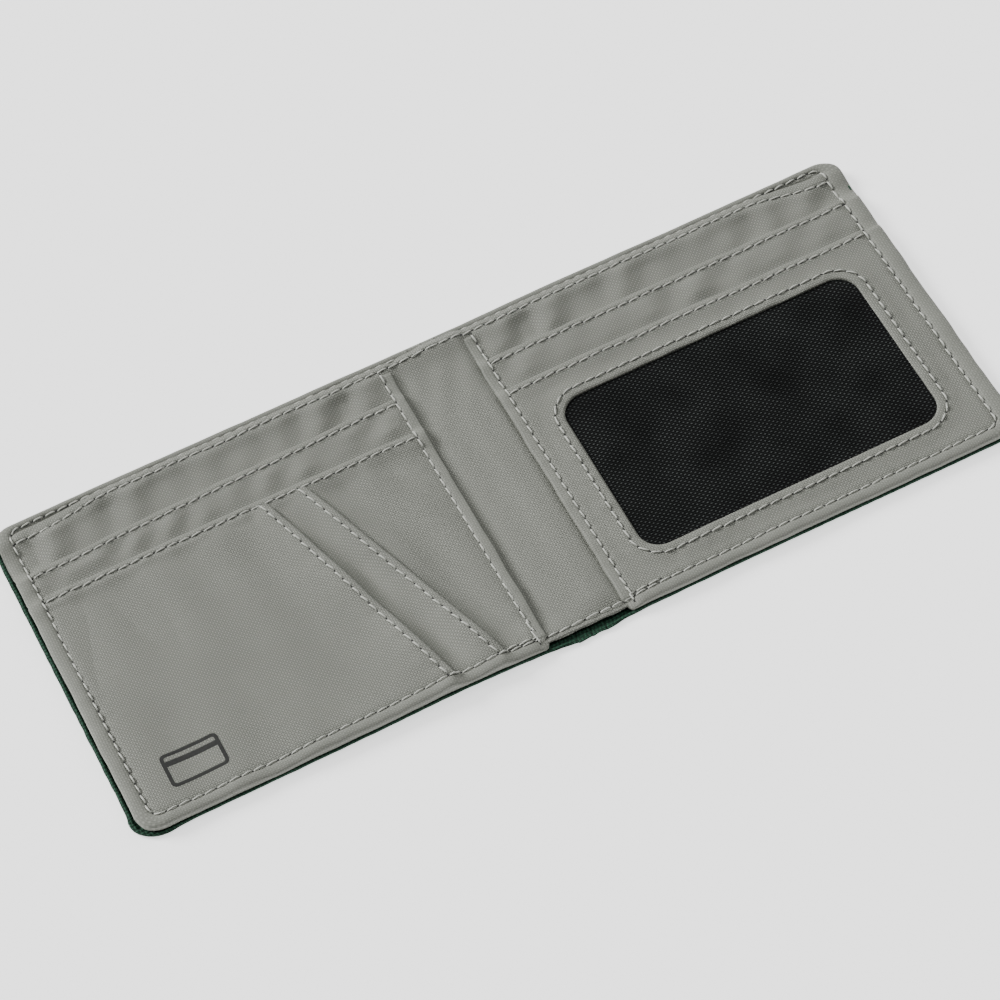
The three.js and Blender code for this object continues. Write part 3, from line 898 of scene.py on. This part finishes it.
# ------------------------------------------------------------ rims

# Places along a seam at the wallet's edge, the steps from them out to the edge, the places on the
# wallet's mid line that belong to them, and the length along the seam
Rim = namedtuple("Rim", "base out mid along")
BOTTOM_MARGIN = BOTTOM_SEAM_Y + OUTER_Y
SIDE_MARGIN = OUTER_X - SEAM_X
TOP_MARGIN = OUTER_Y - TOP_SEAM_Y
CORNER_POINTS = 11


def rim_path(side, bottom_start, top_end, step=0.5):
    """The rim of one half: along the bottom, round the side, and back along the top."""
    corner_x = side * (SEAM_X - SEAM_RADIUS)
    inner_x = side * (SEAM_X - (TOP_SEAM_Y - BOTTOM_SEAM_Y) / 2)
    low_y, high_y = BOTTOM_SEAM_Y + SEAM_RADIUS, TOP_SEAM_Y - SEAM_RADIUS
    blocks = []

    def add(*columns):
        """Adds places as x, y, step outwards in x and y, and the mid line's x."""
        blocks.append(np.stack(np.broadcast_arrays(*columns), axis=1))

    def arm(start, end, y, margin):
        x = np.linspace(start, end, max(2, int(abs(end - start) / step)), endpoint=False)
        spread = (x - side * STRIP) / (corner_x - side * STRIP)
        add(x, y, 0.0, margin, x + (inner_x - corner_x) * spread)

    def corner(centre_y, first_angle, margin_before, margin_after):
        share = np.arange(CORNER_POINTS) / (CORNER_POINTS - 1)
        angle = np.radians(first_angle + 90 * share)
        margin = margin_before + (margin_after - margin_before) * smooth(share)
        dx, dy = side * np.cos(angle), np.sin(angle)
        add(corner_x + SEAM_RADIUS * dx, centre_y + SEAM_RADIUS * dy, dx * margin, dy * margin, inner_x)

    arm(side * bottom_start, corner_x, BOTTOM_SEAM_Y, -BOTTOM_MARGIN)
    corner(low_y, -90, BOTTOM_MARGIN, SIDE_MARGIN)
    side_y = np.linspace(low_y, high_y, int((high_y - low_y) / step))[1:-1]
    add(side * SEAM_X, side_y, side * SIDE_MARGIN, 0.0, inner_x)
    corner(high_y, 0, SIDE_MARGIN, TOP_MARGIN)
    arm(corner_x, side * top_end, TOP_SEAM_Y, TOP_MARGIN)
    add([side * top_end], TOP_SEAM_Y, 0.0, TOP_MARGIN, side * top_end)
    table = np.concatenate(blocks)
    table = table[np.append(True, np.hypot(*np.diff(table[:, :2], axis=0).T) > 1e-6)]
    mid = np.stack([table[:, 4], np.full(len(table), SEAM_MIDDLE_Y)], axis=1)
    return Rim(table[:, :2], table[:, 2:4], mid, path_length(table[:, :2]))


def straight_rim(start, end, y, margin, step=0.6):
    """A short rim, where the edge crosses the spine."""
    x = np.linspace(start, end, max(3, int(abs(end - start) / step) + 1))
    base = np.stack([x, y + 0 * x], axis=1)
    out = np.stack([0 * x, margin + 0 * x], axis=1)
    mid = np.stack([x, SEAM_MIDDLE_Y + 0 * x], axis=1)
    return Rim(base, out, mid, x - x[0])


def swept(name, rim, profile, material):
    """Closed body swept along a rim. profile(k) gives (share outwards, height) pairs of a closed loop."""
    loops = np.array([profile(k) for k in range(len(rim.base))])
    places = rim.base[:, None] + rim.out[:, None] * loops[..., :1]
    points = np.concatenate([places, loops[..., 1:]], axis=-1)
    rows, columns = points.shape[:2]
    index = np.arange(rows * columns).reshape(rows, columns)
    faces = [*grid_faces(index, wrap=True), index[0], index[-1, ::-1]]
    first = points[0] - points[0].mean(axis=0)
    ahead = points[1].mean(axis=0) - points[0].mean(axis=0)
    turn = np.cross(first, np.roll(first, -1, axis=0)).sum(axis=0) @ ahead
    if turn > 0:
        faces = [face[::-1] for face in faces]
    girth = path_length(points[rows // 2])
    uv = np.stack(np.broadcast_arrays(rim.along[:, None], girth), axis=-1)
    return new_piece(name, points.reshape(-1, 3), faces, [material], uv=uv.reshape(-1, 2))


def along_smooth(values, along, width):
    """Running mean of values over a path length."""
    weight = np.exp(-(((along - along[:, None]) / width) ** 2))
    return (weight * values).sum(axis=1) / weight.sum(axis=1)


def crease_at(ground, along, width):
    """From 0 to 1, how sharply the ground under an edge steps near each place."""
    return along_smooth(np.minimum(np.abs(np.gradient(ground)) * 4, 1.0), along, width)


def end_taper(distance, reach):
    """1 along a swept edge, falling in a quarter circle to a soft end where the distance is 0."""
    t = np.clip(distance / reach, 0, 1)
    return np.sqrt(np.maximum(1 - (1 - t) ** 2, 0.02))


# Section of a turned edge. Its top, from the stitch groove over the crown: (share outwards, share of the
# crown over the cloth). Its outer side and underside: (share outwards, share of the way down to the base)
ROLL_TOP = (
    (-0.05, -0.55), (0.015, -0.42), (0.06, -0.12), (0.12, 0.32), (0.22, 0.72), (0.36, 0.95), (0.52, 1.0),
    (0.67, 0.92), (0.80, 0.72), (0.90, 0.40), (0.965, 0.0),
)
ROLL_SIDE = ((1.0, 0.3548), (0.99, 0.7097), (0.93, 1.0), (0.6, 1.0), (-0.05, 1.0))
SHELL_RIM_TOP = 1.25
ROLL_BASE = SHELL_RIM_TOP - 0.15
ROLL_SHARE = 0.9  # the grey edge stops short of the shell's rolled edge
LEFT_SIDE_SHARE, RIGHT_SIDE_SHARE = 0.8, 0.96
MOUTH_TUCK = 1.3  # at the mouth the roll reaches in under the topstitching by this share more


def roll_section(ground, crown):
    """(shares outwards, heights) of a turned edge's section."""
    top, side = np.array(ROLL_TOP).T, np.array(ROLL_SIDE).T
    heights = np.append(ground + crown * top[1], ground - side[1] * (ground - ROLL_BASE))
    return np.append(top[0], side[0]), heights


def rim_ground(x, y):
    """Height of the cloth beside the round seam: at the mouth it passes below the mouth hem."""
    near_x = np.clip(x, 1.0 - SEAM_X, SEAM_X - 1.0)
    near_y = np.clip(y, BOTTOM_SEAM_Y + 1.0, TOP_SEAM_Y - 1.0)
    return np.where(y > TOP_SEAM_Y - 1.2, MOUTH_RIM_GROUND + 0 * x, surface(near_x, near_y))


def edge_roll(side, half, part):
    """The turned edge of the lining round one half, outside the stitches."""
    rim = rim_path(side, STACK_X + 0.4, STRIP)
    x, y = rim.base.T
    raw = rim_ground(x, y)
    ground = along_smooth(raw, rim.along, 1.3) - 0.02
    at_side = smooth((side * x - SEAM_X + 0.6) / 0.5)
    at_mouth = smooth((y - 36) / 6)
    hems = (upper_hem_left, lower_hem_left) if side < 0 else (upper_hem_right, window_hem)
    notch = at_side * sum(bell(y - float(hem(side * SEAM_X)) + 0.5, 0.36) for hem in hems)
    crown = 0.38 * (1 + 0.14 * ripple(rim.along, 120 + side, (5, 24)))
    crown = crown - 0.18 * crease_at(raw, rim.along, 0.5) - 0.32 * notch
    share = ROLL_SHARE + ((LEFT_SIDE_SHARE if side < 0 else RIGHT_SIDE_SHARE) - ROLL_SHARE) * at_side
    outer_share = share * (1 + 0.025 * ripple(rim.along, 130 + side, (6, 30))) * (1 - 0.06 * notch)
    taper = end_taper(rim.along, 1.3)
    centre_z = (ground + SHELL_RIM_TOP) / 2

    def profile(k):
        s, z = roll_section(ground[k], crown[k])
        reach = s * np.where(s > 0.5, outer_share[k], share[k]) * (0.6 + 0.4 * taper[k])
        reach = reach - MOUTH_TUCK * at_mouth[k] * (s < 0)
        return np.stack([reach, centre_z[k] + (z - centre_z[k]) * taper[k]], axis=1)

    piece = swept(f"edge_roll_{half}", rim, profile, lining_edge)
    nodes = [f"turned_edge_{place}_{half}" for place in ("bottom", "side", "top")]
    declare(piece, nodes, part=part)


def spine_roll(part):
    """The turned edge at the mouth, where it crosses the spine."""
    s, z = roll_section(MOUTH_RIM_GROUND - 0.02, 0.4)
    section = np.stack([np.where(s > 0, s * ROLL_SHARE, s - MOUTH_TUCK), z], axis=1)
    rim = straight_rim(part.start, part.end, TOP_SEAM_Y, TOP_MARGIN)
    piece = swept(f"edge_roll_{part.name}", rim, lambda k: section, lining_edge)
    declare(piece, part=part)


for side, half, body, part in HALVES:
    edge_roll(side, half, part)
for part in SPINE_PARTS:
    spine_roll(part)

# ------------------------------------------------------------ outer shell

# Sections of the shell's rolled edge, (share outwards, height): its outer face, and its inner one
SHELL_LOWER = (
    (-0.6, 0.0), (-0.45, 0.0), (-0.25, 0.04), (-0.12, 0.2), (0.0, 0.38), (0.1, 0.22), (0.25, 0.05),
    (0.5, 0.0), (0.72, 0.02), (0.86, 0.09), (0.95, 0.24), (1.0, 0.48), (1.012, 0.75), (0.985, 1.0),
    (0.93, 1.12), (0.85, SHELL_RIM_TOP),
)
SHELL_UPPER = (
    *((share, 0.5) for share in (-0.6, -0.45, -0.25, -0.12, 0.0, 0.1, 0.25, 0.5, 0.64, 0.72)),
    (0.78, 0.52), (0.82, 0.6), (0.84, 0.7), (0.835, 0.8), (0.82, 0.9), (0.8, 1.0),
)
SHELL_INWARD = np.append(np.linspace(1.0, 0.1, 19), 0.05)  # shares of the way from the rim to the mid line


def evened(ring, share):
    """Slides the places of a ring towards even spacing, so that no faces are slivers."""
    along = path_length(ring)
    target = along + (np.linspace(0, along[-1], len(ring)) - along) * share
    return np.stack([np.interp(target, along, ring[:, axis]) for axis in (0, 1)], axis=1)


def spine_foot(x, y):
    """1 where the shell shows below the spine, 0 away from there."""
    return bell(x, 8) * bell(y - BOTTOM_SEAM_Y, 3)


def shell_wave(rim, seed):
    """How far the shell's edge swings outwards, as a share of its margin."""
    x, y = rim.base.T
    wave = 0.03 * ripple(rim.along, seed, (3, 9)) * bell(x, 14) * (y < 0)
    wave = wave + 0.012 * ripple(rim.along, seed + 1, (3, 12))
    wave = wave + 0.05 * smooth((-x - SEAM_X + 0.6) / 0.5) - 0.03 * smooth((x - SEAM_X + 0.6) / 0.5)
    wave = wave + 0.2 * bell(x + SEAM_X, 5) * bell(y - BOTTOM_SEAM_Y, 3)
    return wave + (0.32 + 0.1 * ripple(x, 163, (5, 10))) * spine_foot(x, y)


def shell_face(rim, section, flat_z, seed):
    """Places on one face of the shell: a row for each place of the rim, from the mid line out."""
    wave = shell_wave(rim, seed)
    slack = 1 - 0.75 * spine_foot(*rim.base.T)
    start = rim.base + rim.out * section[0][0]
    rings = [(evened(start + (rim.mid - start) * t, smooth(t / 0.25)), flat_z) for t in SHELL_INWARD]
    for share, z in section:
        stretch = (1 + wave * smooth((share - 0.5) / 0.4))[:, None]
        height = min(z, SHELL_TOP) + max(z - SHELL_TOP, 0) * slack
        rings.append((rim.base + rim.out * share * stretch, height))
    return np.stack([np.stack(np.broadcast_arrays(*ring.T, z), axis=1) for ring, z in rings], axis=1)


def shell_part(name, rims, part, seed):
    """Outer cloth with its rolled edge. It spans from the rims to the mid line, where they meet."""
    points, faces = [], []
    for rim in rims:
        outer = shell_face(rim, SHELL_LOWER, 0.0, seed)
        inner = shell_face(rim, SHELL_UPPER, SHELL_TOP, seed)
        block = np.concatenate([outer, inner[:, ::-1]], axis=1)
        rows, columns = block.shape[:2]
        index = sum(map(len, points)) + np.arange(rows * columns).reshape(rows, columns)
        faces.append(grid_faces(index))
        for row in (index[0], index[-1]):
            faces.append(grid_faces(np.stack([row, row[::-1]])[:, : columns // 2]))
        points.append(block.reshape(-1, 3))
    points = np.concatenate(points)
    uv = points[:, :2] + points[:, 2:] * 0.8
    piece = new_piece(name, points, np.concatenate(faces), [shell_cloth], uv=uv)
    work = bmesh.new()
    work.from_mesh(piece.data)
    bmesh.ops.remove_doubles(work, verts=work.verts, dist=0.002 * MM)
    bmesh.ops.recalc_face_normals(work, faces=work.faces)
    work.to_mesh(piece.data)
    work.free()
    declare(piece, [f"outer_shell_{ending}" for ending in part.nodes], part=part)
    return piece


def shell_strip(part):
    """The shell's part on one side of the middle of the spine."""
    bottom = straight_rim(part.start, part.end, BOTTOM_SEAM_Y, -BOTTOM_MARGIN)
    top = straight_rim(part.start, part.end, TOP_SEAM_Y, TOP_MARGIN)
    return shell_part(f"shell_{part.name}", [bottom, top], part, 160)


shell_halves = [
    shell_part(f"shell_{half}", [rim_path(side, STRIP, STRIP)], part, seed)
    for (side, half, body, part), seed in zip(HALVES, (140, 150))
]
shell_strips = [shell_strip(part) for part in SPINE_PARTS]

# ------------------------------------------------------------ inner folded edges

# Section of a flat folded strip, nearly level on top with a tight fold: (share outwards, height over the
# cloth, share of the crown). Its underside is level
STRIP_SECTION = np.array([
    (-0.05, -0.2, 0), (0.02, -0.12, 0), (0.08, 0, 0.3), (0.2, 0, 0.8), (0.4, 0, 1), (0.62, 0, 0.95),
    (0.8, 0, 0.75), (0.92, 0, 0.3), (0.98, -0.1, 0), (1.0, -0.3, 0), (0.985, -0.55, 0),
])
STRIP_UNDERSIDE = (0.95, 0.5, -0.05)
STRIP_BASE = 1.5


def inner_edge(side, half, body):
    """The folded strip along the inner edge of one stack of pockets, beside the spine."""
    y = np.arange(BOTTOM_SEAM_Y - 0.6, TOP_SEAM_Y - 2.4, 0.7)
    base = np.stack([side * INNER_SEAM_X + 0 * y, y], axis=1)
    out = np.stack([side * (STACK_X - INNER_SEAM_X) + 0 * y, 0 * y], axis=1)
    raw = surface(base[:, 0] + side * 0.9, y)
    ground = along_smooth(raw, y, 1.0) - 0.03
    crease = crease_at(raw, y, 0.6)
    width = 1 + 0.05 * ripple(y, 170 + side, (6, 22)) + 0.05 * crease
    crown = 0.144 * (1 + 0.3 * ripple(y, 172 + side, (5, 16))) - 0.054 * crease
    along = y - y[0]
    taper = end_taper(np.minimum(along, along[-1] - along), 0.6)

    def profile(k):
        share, over, crown_share = STRIP_SECTION.T
        share = np.append(share, STRIP_UNDERSIDE) * width[k] * (0.5 + 0.5 * taper[k])
        z = np.append(ground[k] + over + crown[k] * crown_share, [STRIP_BASE] * len(STRIP_UNDERSIDE))
        return np.stack([share, STRIP_BASE + (z - STRIP_BASE) * taper[k]], axis=1)

    piece = swept(f"inner_edge_{half}", Rim(base, out, None, along), profile, lining_edge)
    declare(piece, [f"inner_edge_fold_{half}"], body)


for side, half, body, part in HALVES:
    inner_edge(side, half, body)

# ------------------------------------------------------------ stitches

STITCH_PITCH = 3.0
STITCH_GAP = 0.55
STITCH_SINK, STITCH_ARCH = 0.5, 1.5  # in thread radii
THREAD_RADIUS = 0.22
OUTER_THREAD_RADIUS = 0.12
SLANT = 0.13  # how far a stitch's ends stand to either side of the row
TWIST = 5.2  # turn of the strands over one stitch, in radians
RING_SIDES = 8
RINGS = 9
HOLE_SIDES = 10
HOLE_HALF_LENGTH, HOLE_HALF_WIDTH = 0.32, 0.19
HOLE_FILM = 0.025  # how far a hole's disc of painted shade stands off the cloth


def twisted_threads(row, count, pitch, rng, height, radius, up):
    """Points and faces of the single stitches of a row, each a twisted thread that arches off the cloth.
    row gives x and y at a length along it. up is 1 for stitches on top of the cloth, -1 below it."""
    t = np.linspace(0, 1, RINGS)
    start = (np.arange(count) * pitch + STITCH_GAP / 2 + rng.uniform(-0.12, 0.12, count))[:, None]
    length = (pitch - STITCH_GAP) * rng.uniform(0.94, 1.05, count)[:, None]
    x, y = row(start + length * t)
    dx, dy = x[:, -1:] - x[:, :1], y[:, -1:] - y[:, :1]
    dx, dy = dx / np.hypot(dx, dy), dy / np.hypot(dx, dy)
    sway = (t - 0.5) * 2 * SLANT * rng.uniform(0.5, 1.4, count)[:, None]
    sway = sway + rng.uniform(-0.06, 0.06, count)[:, None]
    x, y = x - dy * sway, y + dx * sway
    ground = height(x, y)
    ground = 0.5 * ground + 0.5 * np.maximum(ground[:, :1], ground[:, -1:])
    arch = np.sin(math.pi * np.clip(t, 0.02, 0.98)) ** 0.55
    z = ground + up * radius * (STITCH_ARCH * arch - STITCH_SINK)
    angle = np.linspace(0, 2 * math.pi, RING_SIDES, endpoint=False)
    strands = 1 + 0.16 * np.cos(2 * (angle - TWIST * t[:, None]))
    reach = (radius * (0.55 + 0.45 * arch))[:, None] * strands
    sideways, upwards = reach * np.cos(angle), reach * np.sin(angle)
    around_x = x[..., None] - dy[..., None] * sideways
    around_y = y[..., None] + dx[..., None] * sideways
    points = np.stack([around_x, around_y, z[..., None] + upwards], axis=-1).reshape(-1, 3)
    index = np.arange(count * RINGS * RING_SIDES).reshape(count, RINGS, RING_SIDES)
    return points, [*grid_faces(index, wrap=True, flip=True), *index[:, 0], *index[:, -1, ::-1]]


def needle_holes(row, places, height, up):
    """Points of the small discs of painted shade that show as needle holes, one row of points for each hole.
    """
    x, y = row(places)
    (x_before, y_before), (x_after, y_after) = row(places - 0.05), row(places + 0.05)
    dx, dy = x_after - x_before, y_after - y_before
    dx, dy = (dx / np.hypot(dx, dy))[:, None], (dy / np.hypot(dx, dy))[:, None]
    angle = np.linspace(0, 2 * math.pi, HOLE_SIDES, endpoint=False)
    forward, sideways = HOLE_HALF_LENGTH * np.cos(angle), HOLE_HALF_WIDTH * np.sin(angle)
    x = x[:, None] + dx * forward - dy * sideways
    y = y[:, None] + dy * forward + dx * sideways
    z = up * height(x, y)
    z = up * (np.maximum(z, z.mean(axis=1, keepdims=True)) + HOLE_FILM)
    return np.stack([x, y, z], axis=-1)


def stitches(path, seed, height, radius, up):
    """Points and faces of the threads along a path, and of the discs of painted shade for the holes between
    them.
    """
    along = path_length(path)
    count = max(1, int(round(along[-1] / STITCH_PITCH)))
    pitch = along[-1] / count

    def row(place):
        return np.interp(place, along, path[:, 0]), np.interp(place, along, path[:, 1])

    rng = np.random.default_rng(seed)
    points, threads = twisted_threads(row, count, pitch, rng, height, radius, up)
    discs = needle_holes(row, np.arange(count + 1) * pitch, height, up)
    holes = len(points) + np.arange(discs[..., 0].size).reshape(discs.shape[:2])
    return np.concatenate([points, discs.reshape(-1, 3)]), threads, [*holes[:, ::up]]


def seam_row(name, paths, nodes=(), body=None, part=None, height=surface, below=False):
    """One row of stitches, over one or more paths, as one piece. Those below are the shell's own."""
    radius, thread = (OUTER_THREAD_RADIUS, green_thread) if below else (THREAD_RADIUS, thread_material)
    first_seed = 1000 + len(name) * 17 + sum(map(ord, name))
    points, faces, kinds = [], [], []
    for k, path in enumerate(paths):
        places, threads, holes = stitches(path, first_seed + k, height, radius, -1 if below else 1)
        shift = sum(map(len, points))
        points.append(places)
        faces += [face + shift for face in threads + holes]
        kinds += [0] * len(threads) + [1] * len(holes)
    # the second material is the painted shade of the needle holes
    materials = [thread, hole_shade_material]
    piece = new_piece(name, np.concatenate(points), faces, materials, face_materials=kinds)
    declare(piece, nodes, body, part)


def along_x(start, end, line):
    x = np.linspace(start, end, max(8, int(abs(end - start))))
    return np.stack([x, line(x)], axis=1)


def along_y(start, end, line):
    y = np.linspace(start, end, max(8, int(abs(end - start))))
    return np.stack([line(y), y], axis=1)


def stitch_ground(x, y):
    """Height of the cloth along the groove of the round seam."""
    return rim_ground(x, y) - 0.03 + 0.05 * smooth((-y - 38) / 3)


def window_stitch_ground(x, y):
    return surface(x, y) + 0.12


def outer_face(x, y):
    """Lower surface of the shell along its stitch groove."""
    return 0.42 + 0 * x


def lock_line(x):
    """The short row that locks the foot of an inner seam."""
    return BOTTOM_SEAM_Y + 0.42 + 0.02 * np.abs(x)


def edge_rows(name, paths, part, nodes=()):
    """The row round the edge, on the lining's side and on the shell's."""
    seam_row(f"stitches_edge_{name}", paths, nodes, part=part, height=stitch_ground)
    seam_row(f"stitches_outer_{name}", paths, part=part, height=outer_face, below=True)


ROW_END_X = SEAM_X - 0.4  # rows across a half end just inside the round seam

for side, half, body, part in HALVES:
    edge_nodes = [f"seam_{place}_{half}" for place in ("bottom", "side", "top")]
    edge_rows(half, [rim_path(side, STRIP, STRIP).base], part, edge_nodes)
for part in SPINE_PARTS:
    spine_rows = [along_x(part.start, part.end, fixed(y)) for y in (BOTTOM_SEAM_Y, TOP_SEAM_Y)]
    edge_rows(part.name, spine_rows, part)

for part in FOLD_PARTS:
    row = along_x(max(part.start, -ROW_END_X), min(part.end, ROW_END_X), mouth_row)
    mouth_nodes = [] if part in SPINE_PARTS else [f"seam_mouth_hem_{part.name}"]
    seam_row(f"stitches_mouth_{part.name}", [row], mouth_nodes, part=part)

for name, node, side, hem in (
    ("upper_slot_left", "seam_upper_slot_left", -1, upper_hem_left),
    ("upper_slot_right", "seam_upper_slot_right", 1, upper_hem_right),
    ("lower_slot", "seam_lower_slot_left", -1, lower_hem_left),
    ("window_panel", "seam_window_panel_hem", 1, window_hem),
):
    start, end = sorted((side * INNER_SEAM_X, side * ROW_END_X))
    row = along_x(start, end, hem) - (0, HEM_WIDTH)
    seam_row(f"stitches_{name}", [row], [node], LEFT if side < 0 else RIGHT)

for name in ("slanted_rear", "slanted_front"):
    slant_line = line_through(*seam_line(f"seam_{name}"), 1)
    row_top = float(lower_hem_left(slant_line(20.0))) - HEM_WIDTH
    row = along_y(row_top, BOTTOM_SEAM_Y + 0.4, slant_line)
    seam_row(f"stitches_{name}", [row], [f"seam_{name}"], LEFT)

window_row = window_loop[0] + window_loop[1] * WINDOW_SEAM_INSET
window_row = np.concatenate([window_row, window_row[:1]])
seam_row("stitches_window", [window_row], ["seam_window"], RIGHT, height=window_stitch_ground)

for side, half, body, part in HALVES:
    main_row = along_y(TOP_SEAM_Y - 2.6, BOTTOM_SEAM_Y, fixed(side * INNER_SEAM_X))
    foot = along_y(BOTTOM_SEAM_Y + 6.5, BOTTOM_SEAM_Y - 1.2, fixed(side * (INNER_SEAM_X - 0.25)))
    lock = along_x(side * (STACK_X + 0.3), side * (STACK_X + 10), lock_line)
    seam_row(f"stitches_inner_{half}", [main_row, foot, lock], [f"seam_inner_edge_{half}"], body)

# ------------------------------------------------------------ printed mark

PRINT_LINE = 0.9
PRINT_FILM = 0.03
PRINT_RADIUS = 1.4
PRINT_INNER_RADIUS = 0.6


def printed_mark():
    """The generic payment card printed on the front pocket: an outline with a stripe."""
    lows, highs = low("printed_card")[:2], high("printed_card")[:2]
    counts = (10, (20, 20))  # enough points for the film to follow the cloth
    outer = rounded_loop(lows, highs, PRINT_RADIUS, *counts)[0]
    inner = rounded_loop(lows + PRINT_LINE, highs - PRINT_LINE, PRINT_INNER_RADIUS, *counts)[0]
    outline = np.stack([outer + (inner - outer) * t for t in (0, 0.33, 0.66, 1)])
    stripe_x = np.linspace(lows[0] + PRINT_LINE * 0.6, highs[0] - PRINT_LINE * 0.6, 24)
    stripe_y = np.linspace(highs[1] - 3.4, highs[1] - 2.0, 4)
    stripe = np.stack(np.meshgrid(stripe_x, stripe_y), axis=-1)
    outline_index = np.arange(outline[..., 0].size).reshape(outline.shape[:2])
    stripe_index = outline_index.size + np.arange(stripe[..., 0].size).reshape(stripe.shape[:2])
    faces = np.concatenate([grid_faces(outline_index, wrap=True), grid_faces(stripe_index)])
    places = np.concatenate([outline.reshape(-1, 2), stripe.reshape(-1, 2)])
    heights = front_height(places[:, 0], places[:, 1]) + PRINT_FILM
    piece = new_piece("printed_mark", np.column_stack([places, heights]), faces, [ink_material])
    declare(piece, ["printed_card"], LEFT)


printed_mark()

# ------------------------------------------------------------ floor, light and camera


def stage_floor():
    """Plain pale paper, a hair below the wallet, which glows a little."""
    bpy.ops.mesh.primitive_plane_add(size=40, location=(0, 0, -0.0001))
    floor = bpy.context.object
    floor.name = "floor"
    n = Nodes("floor_paper")
    n.set(Base_Color=(0.92, 0.92, 0.92, 1), Roughness=0.9, Specular_IOR_Level=0.1)
    n.set(Emission_Color=(1, 1, 1, 1), Emission_Strength=1.3)
    floor.data.materials.append(n.material)


def soft_light(name, direction, strength, spread):
    """A broad soft light from far away, so the floor is lit evenly in every view. spread is in degrees."""
    data = bpy.data.lights.new(name, "SUN")
    data.energy = strength
    data.angle = math.radians(spread)
    light = bpy.data.objects.new(name, data)
    light.location = direction
    light.rotation_euler = (-Vector(direction)).to_track_quat("-Z", "Y").to_euler()
    bpy.context.scene.collection.objects.link(light)


def studio_world(strength):
    """Even white light from all round."""
    world = bpy.data.worlds.new("studio")
    world.use_nodes = True
    background = world.node_tree.nodes["Background"]
    background.inputs["Color"].default_value = (1, 1, 1, 1)
    background.inputs["Strength"].default_value = strength
    bpy.context.scene.world = world


def camera(azimuth, elevation, roll, distance, target):
    """A camera that looks at target, in millimetres, from distance metres away. Angles are in degrees."""
    azimuth, elevation, roll = np.radians((azimuth, elevation, roll))
    level = math.cos(elevation)
    back = Vector((math.sin(azimuth) * level, -math.cos(azimuth) * level, math.sin(elevation)))
    right = Vector((math.cos(azimuth), math.sin(azimuth), 0))
    up = back.cross(right)
    image_right = math.cos(roll) * right + math.sin(roll) * up
    image_up = -math.sin(roll) * right + math.cos(roll) * up
    turned = Matrix((image_right, image_up, back)).transposed().to_4x4()
    data = bpy.data.cameras.new("view")
    data.lens, data.sensor_width = 144.0, 36.0
    data.clip_start, data.clip_end = 0.01, 20
    view = bpy.data.objects.new("view", data)
    view.matrix_world = Matrix.Translation(Vector(target) * MM + back * distance) @ turned
    bpy.context.scene.collection.objects.link(view)
    bpy.context.scene.camera = view


stage_floor()
soft_light("key", (-0.86, 0.86, 0.68), 4.8, 26)
soft_light("fill", (1.2, 0.1, 0.8), 0.95, 40)
soft_light("top", (0.0, 0.5, 1.5), 0.6, 40)
studio_world(0.11)
camera(-18.16, 55.68, -9.45, 0.9121, (-2.86, -4.85, 3.2))
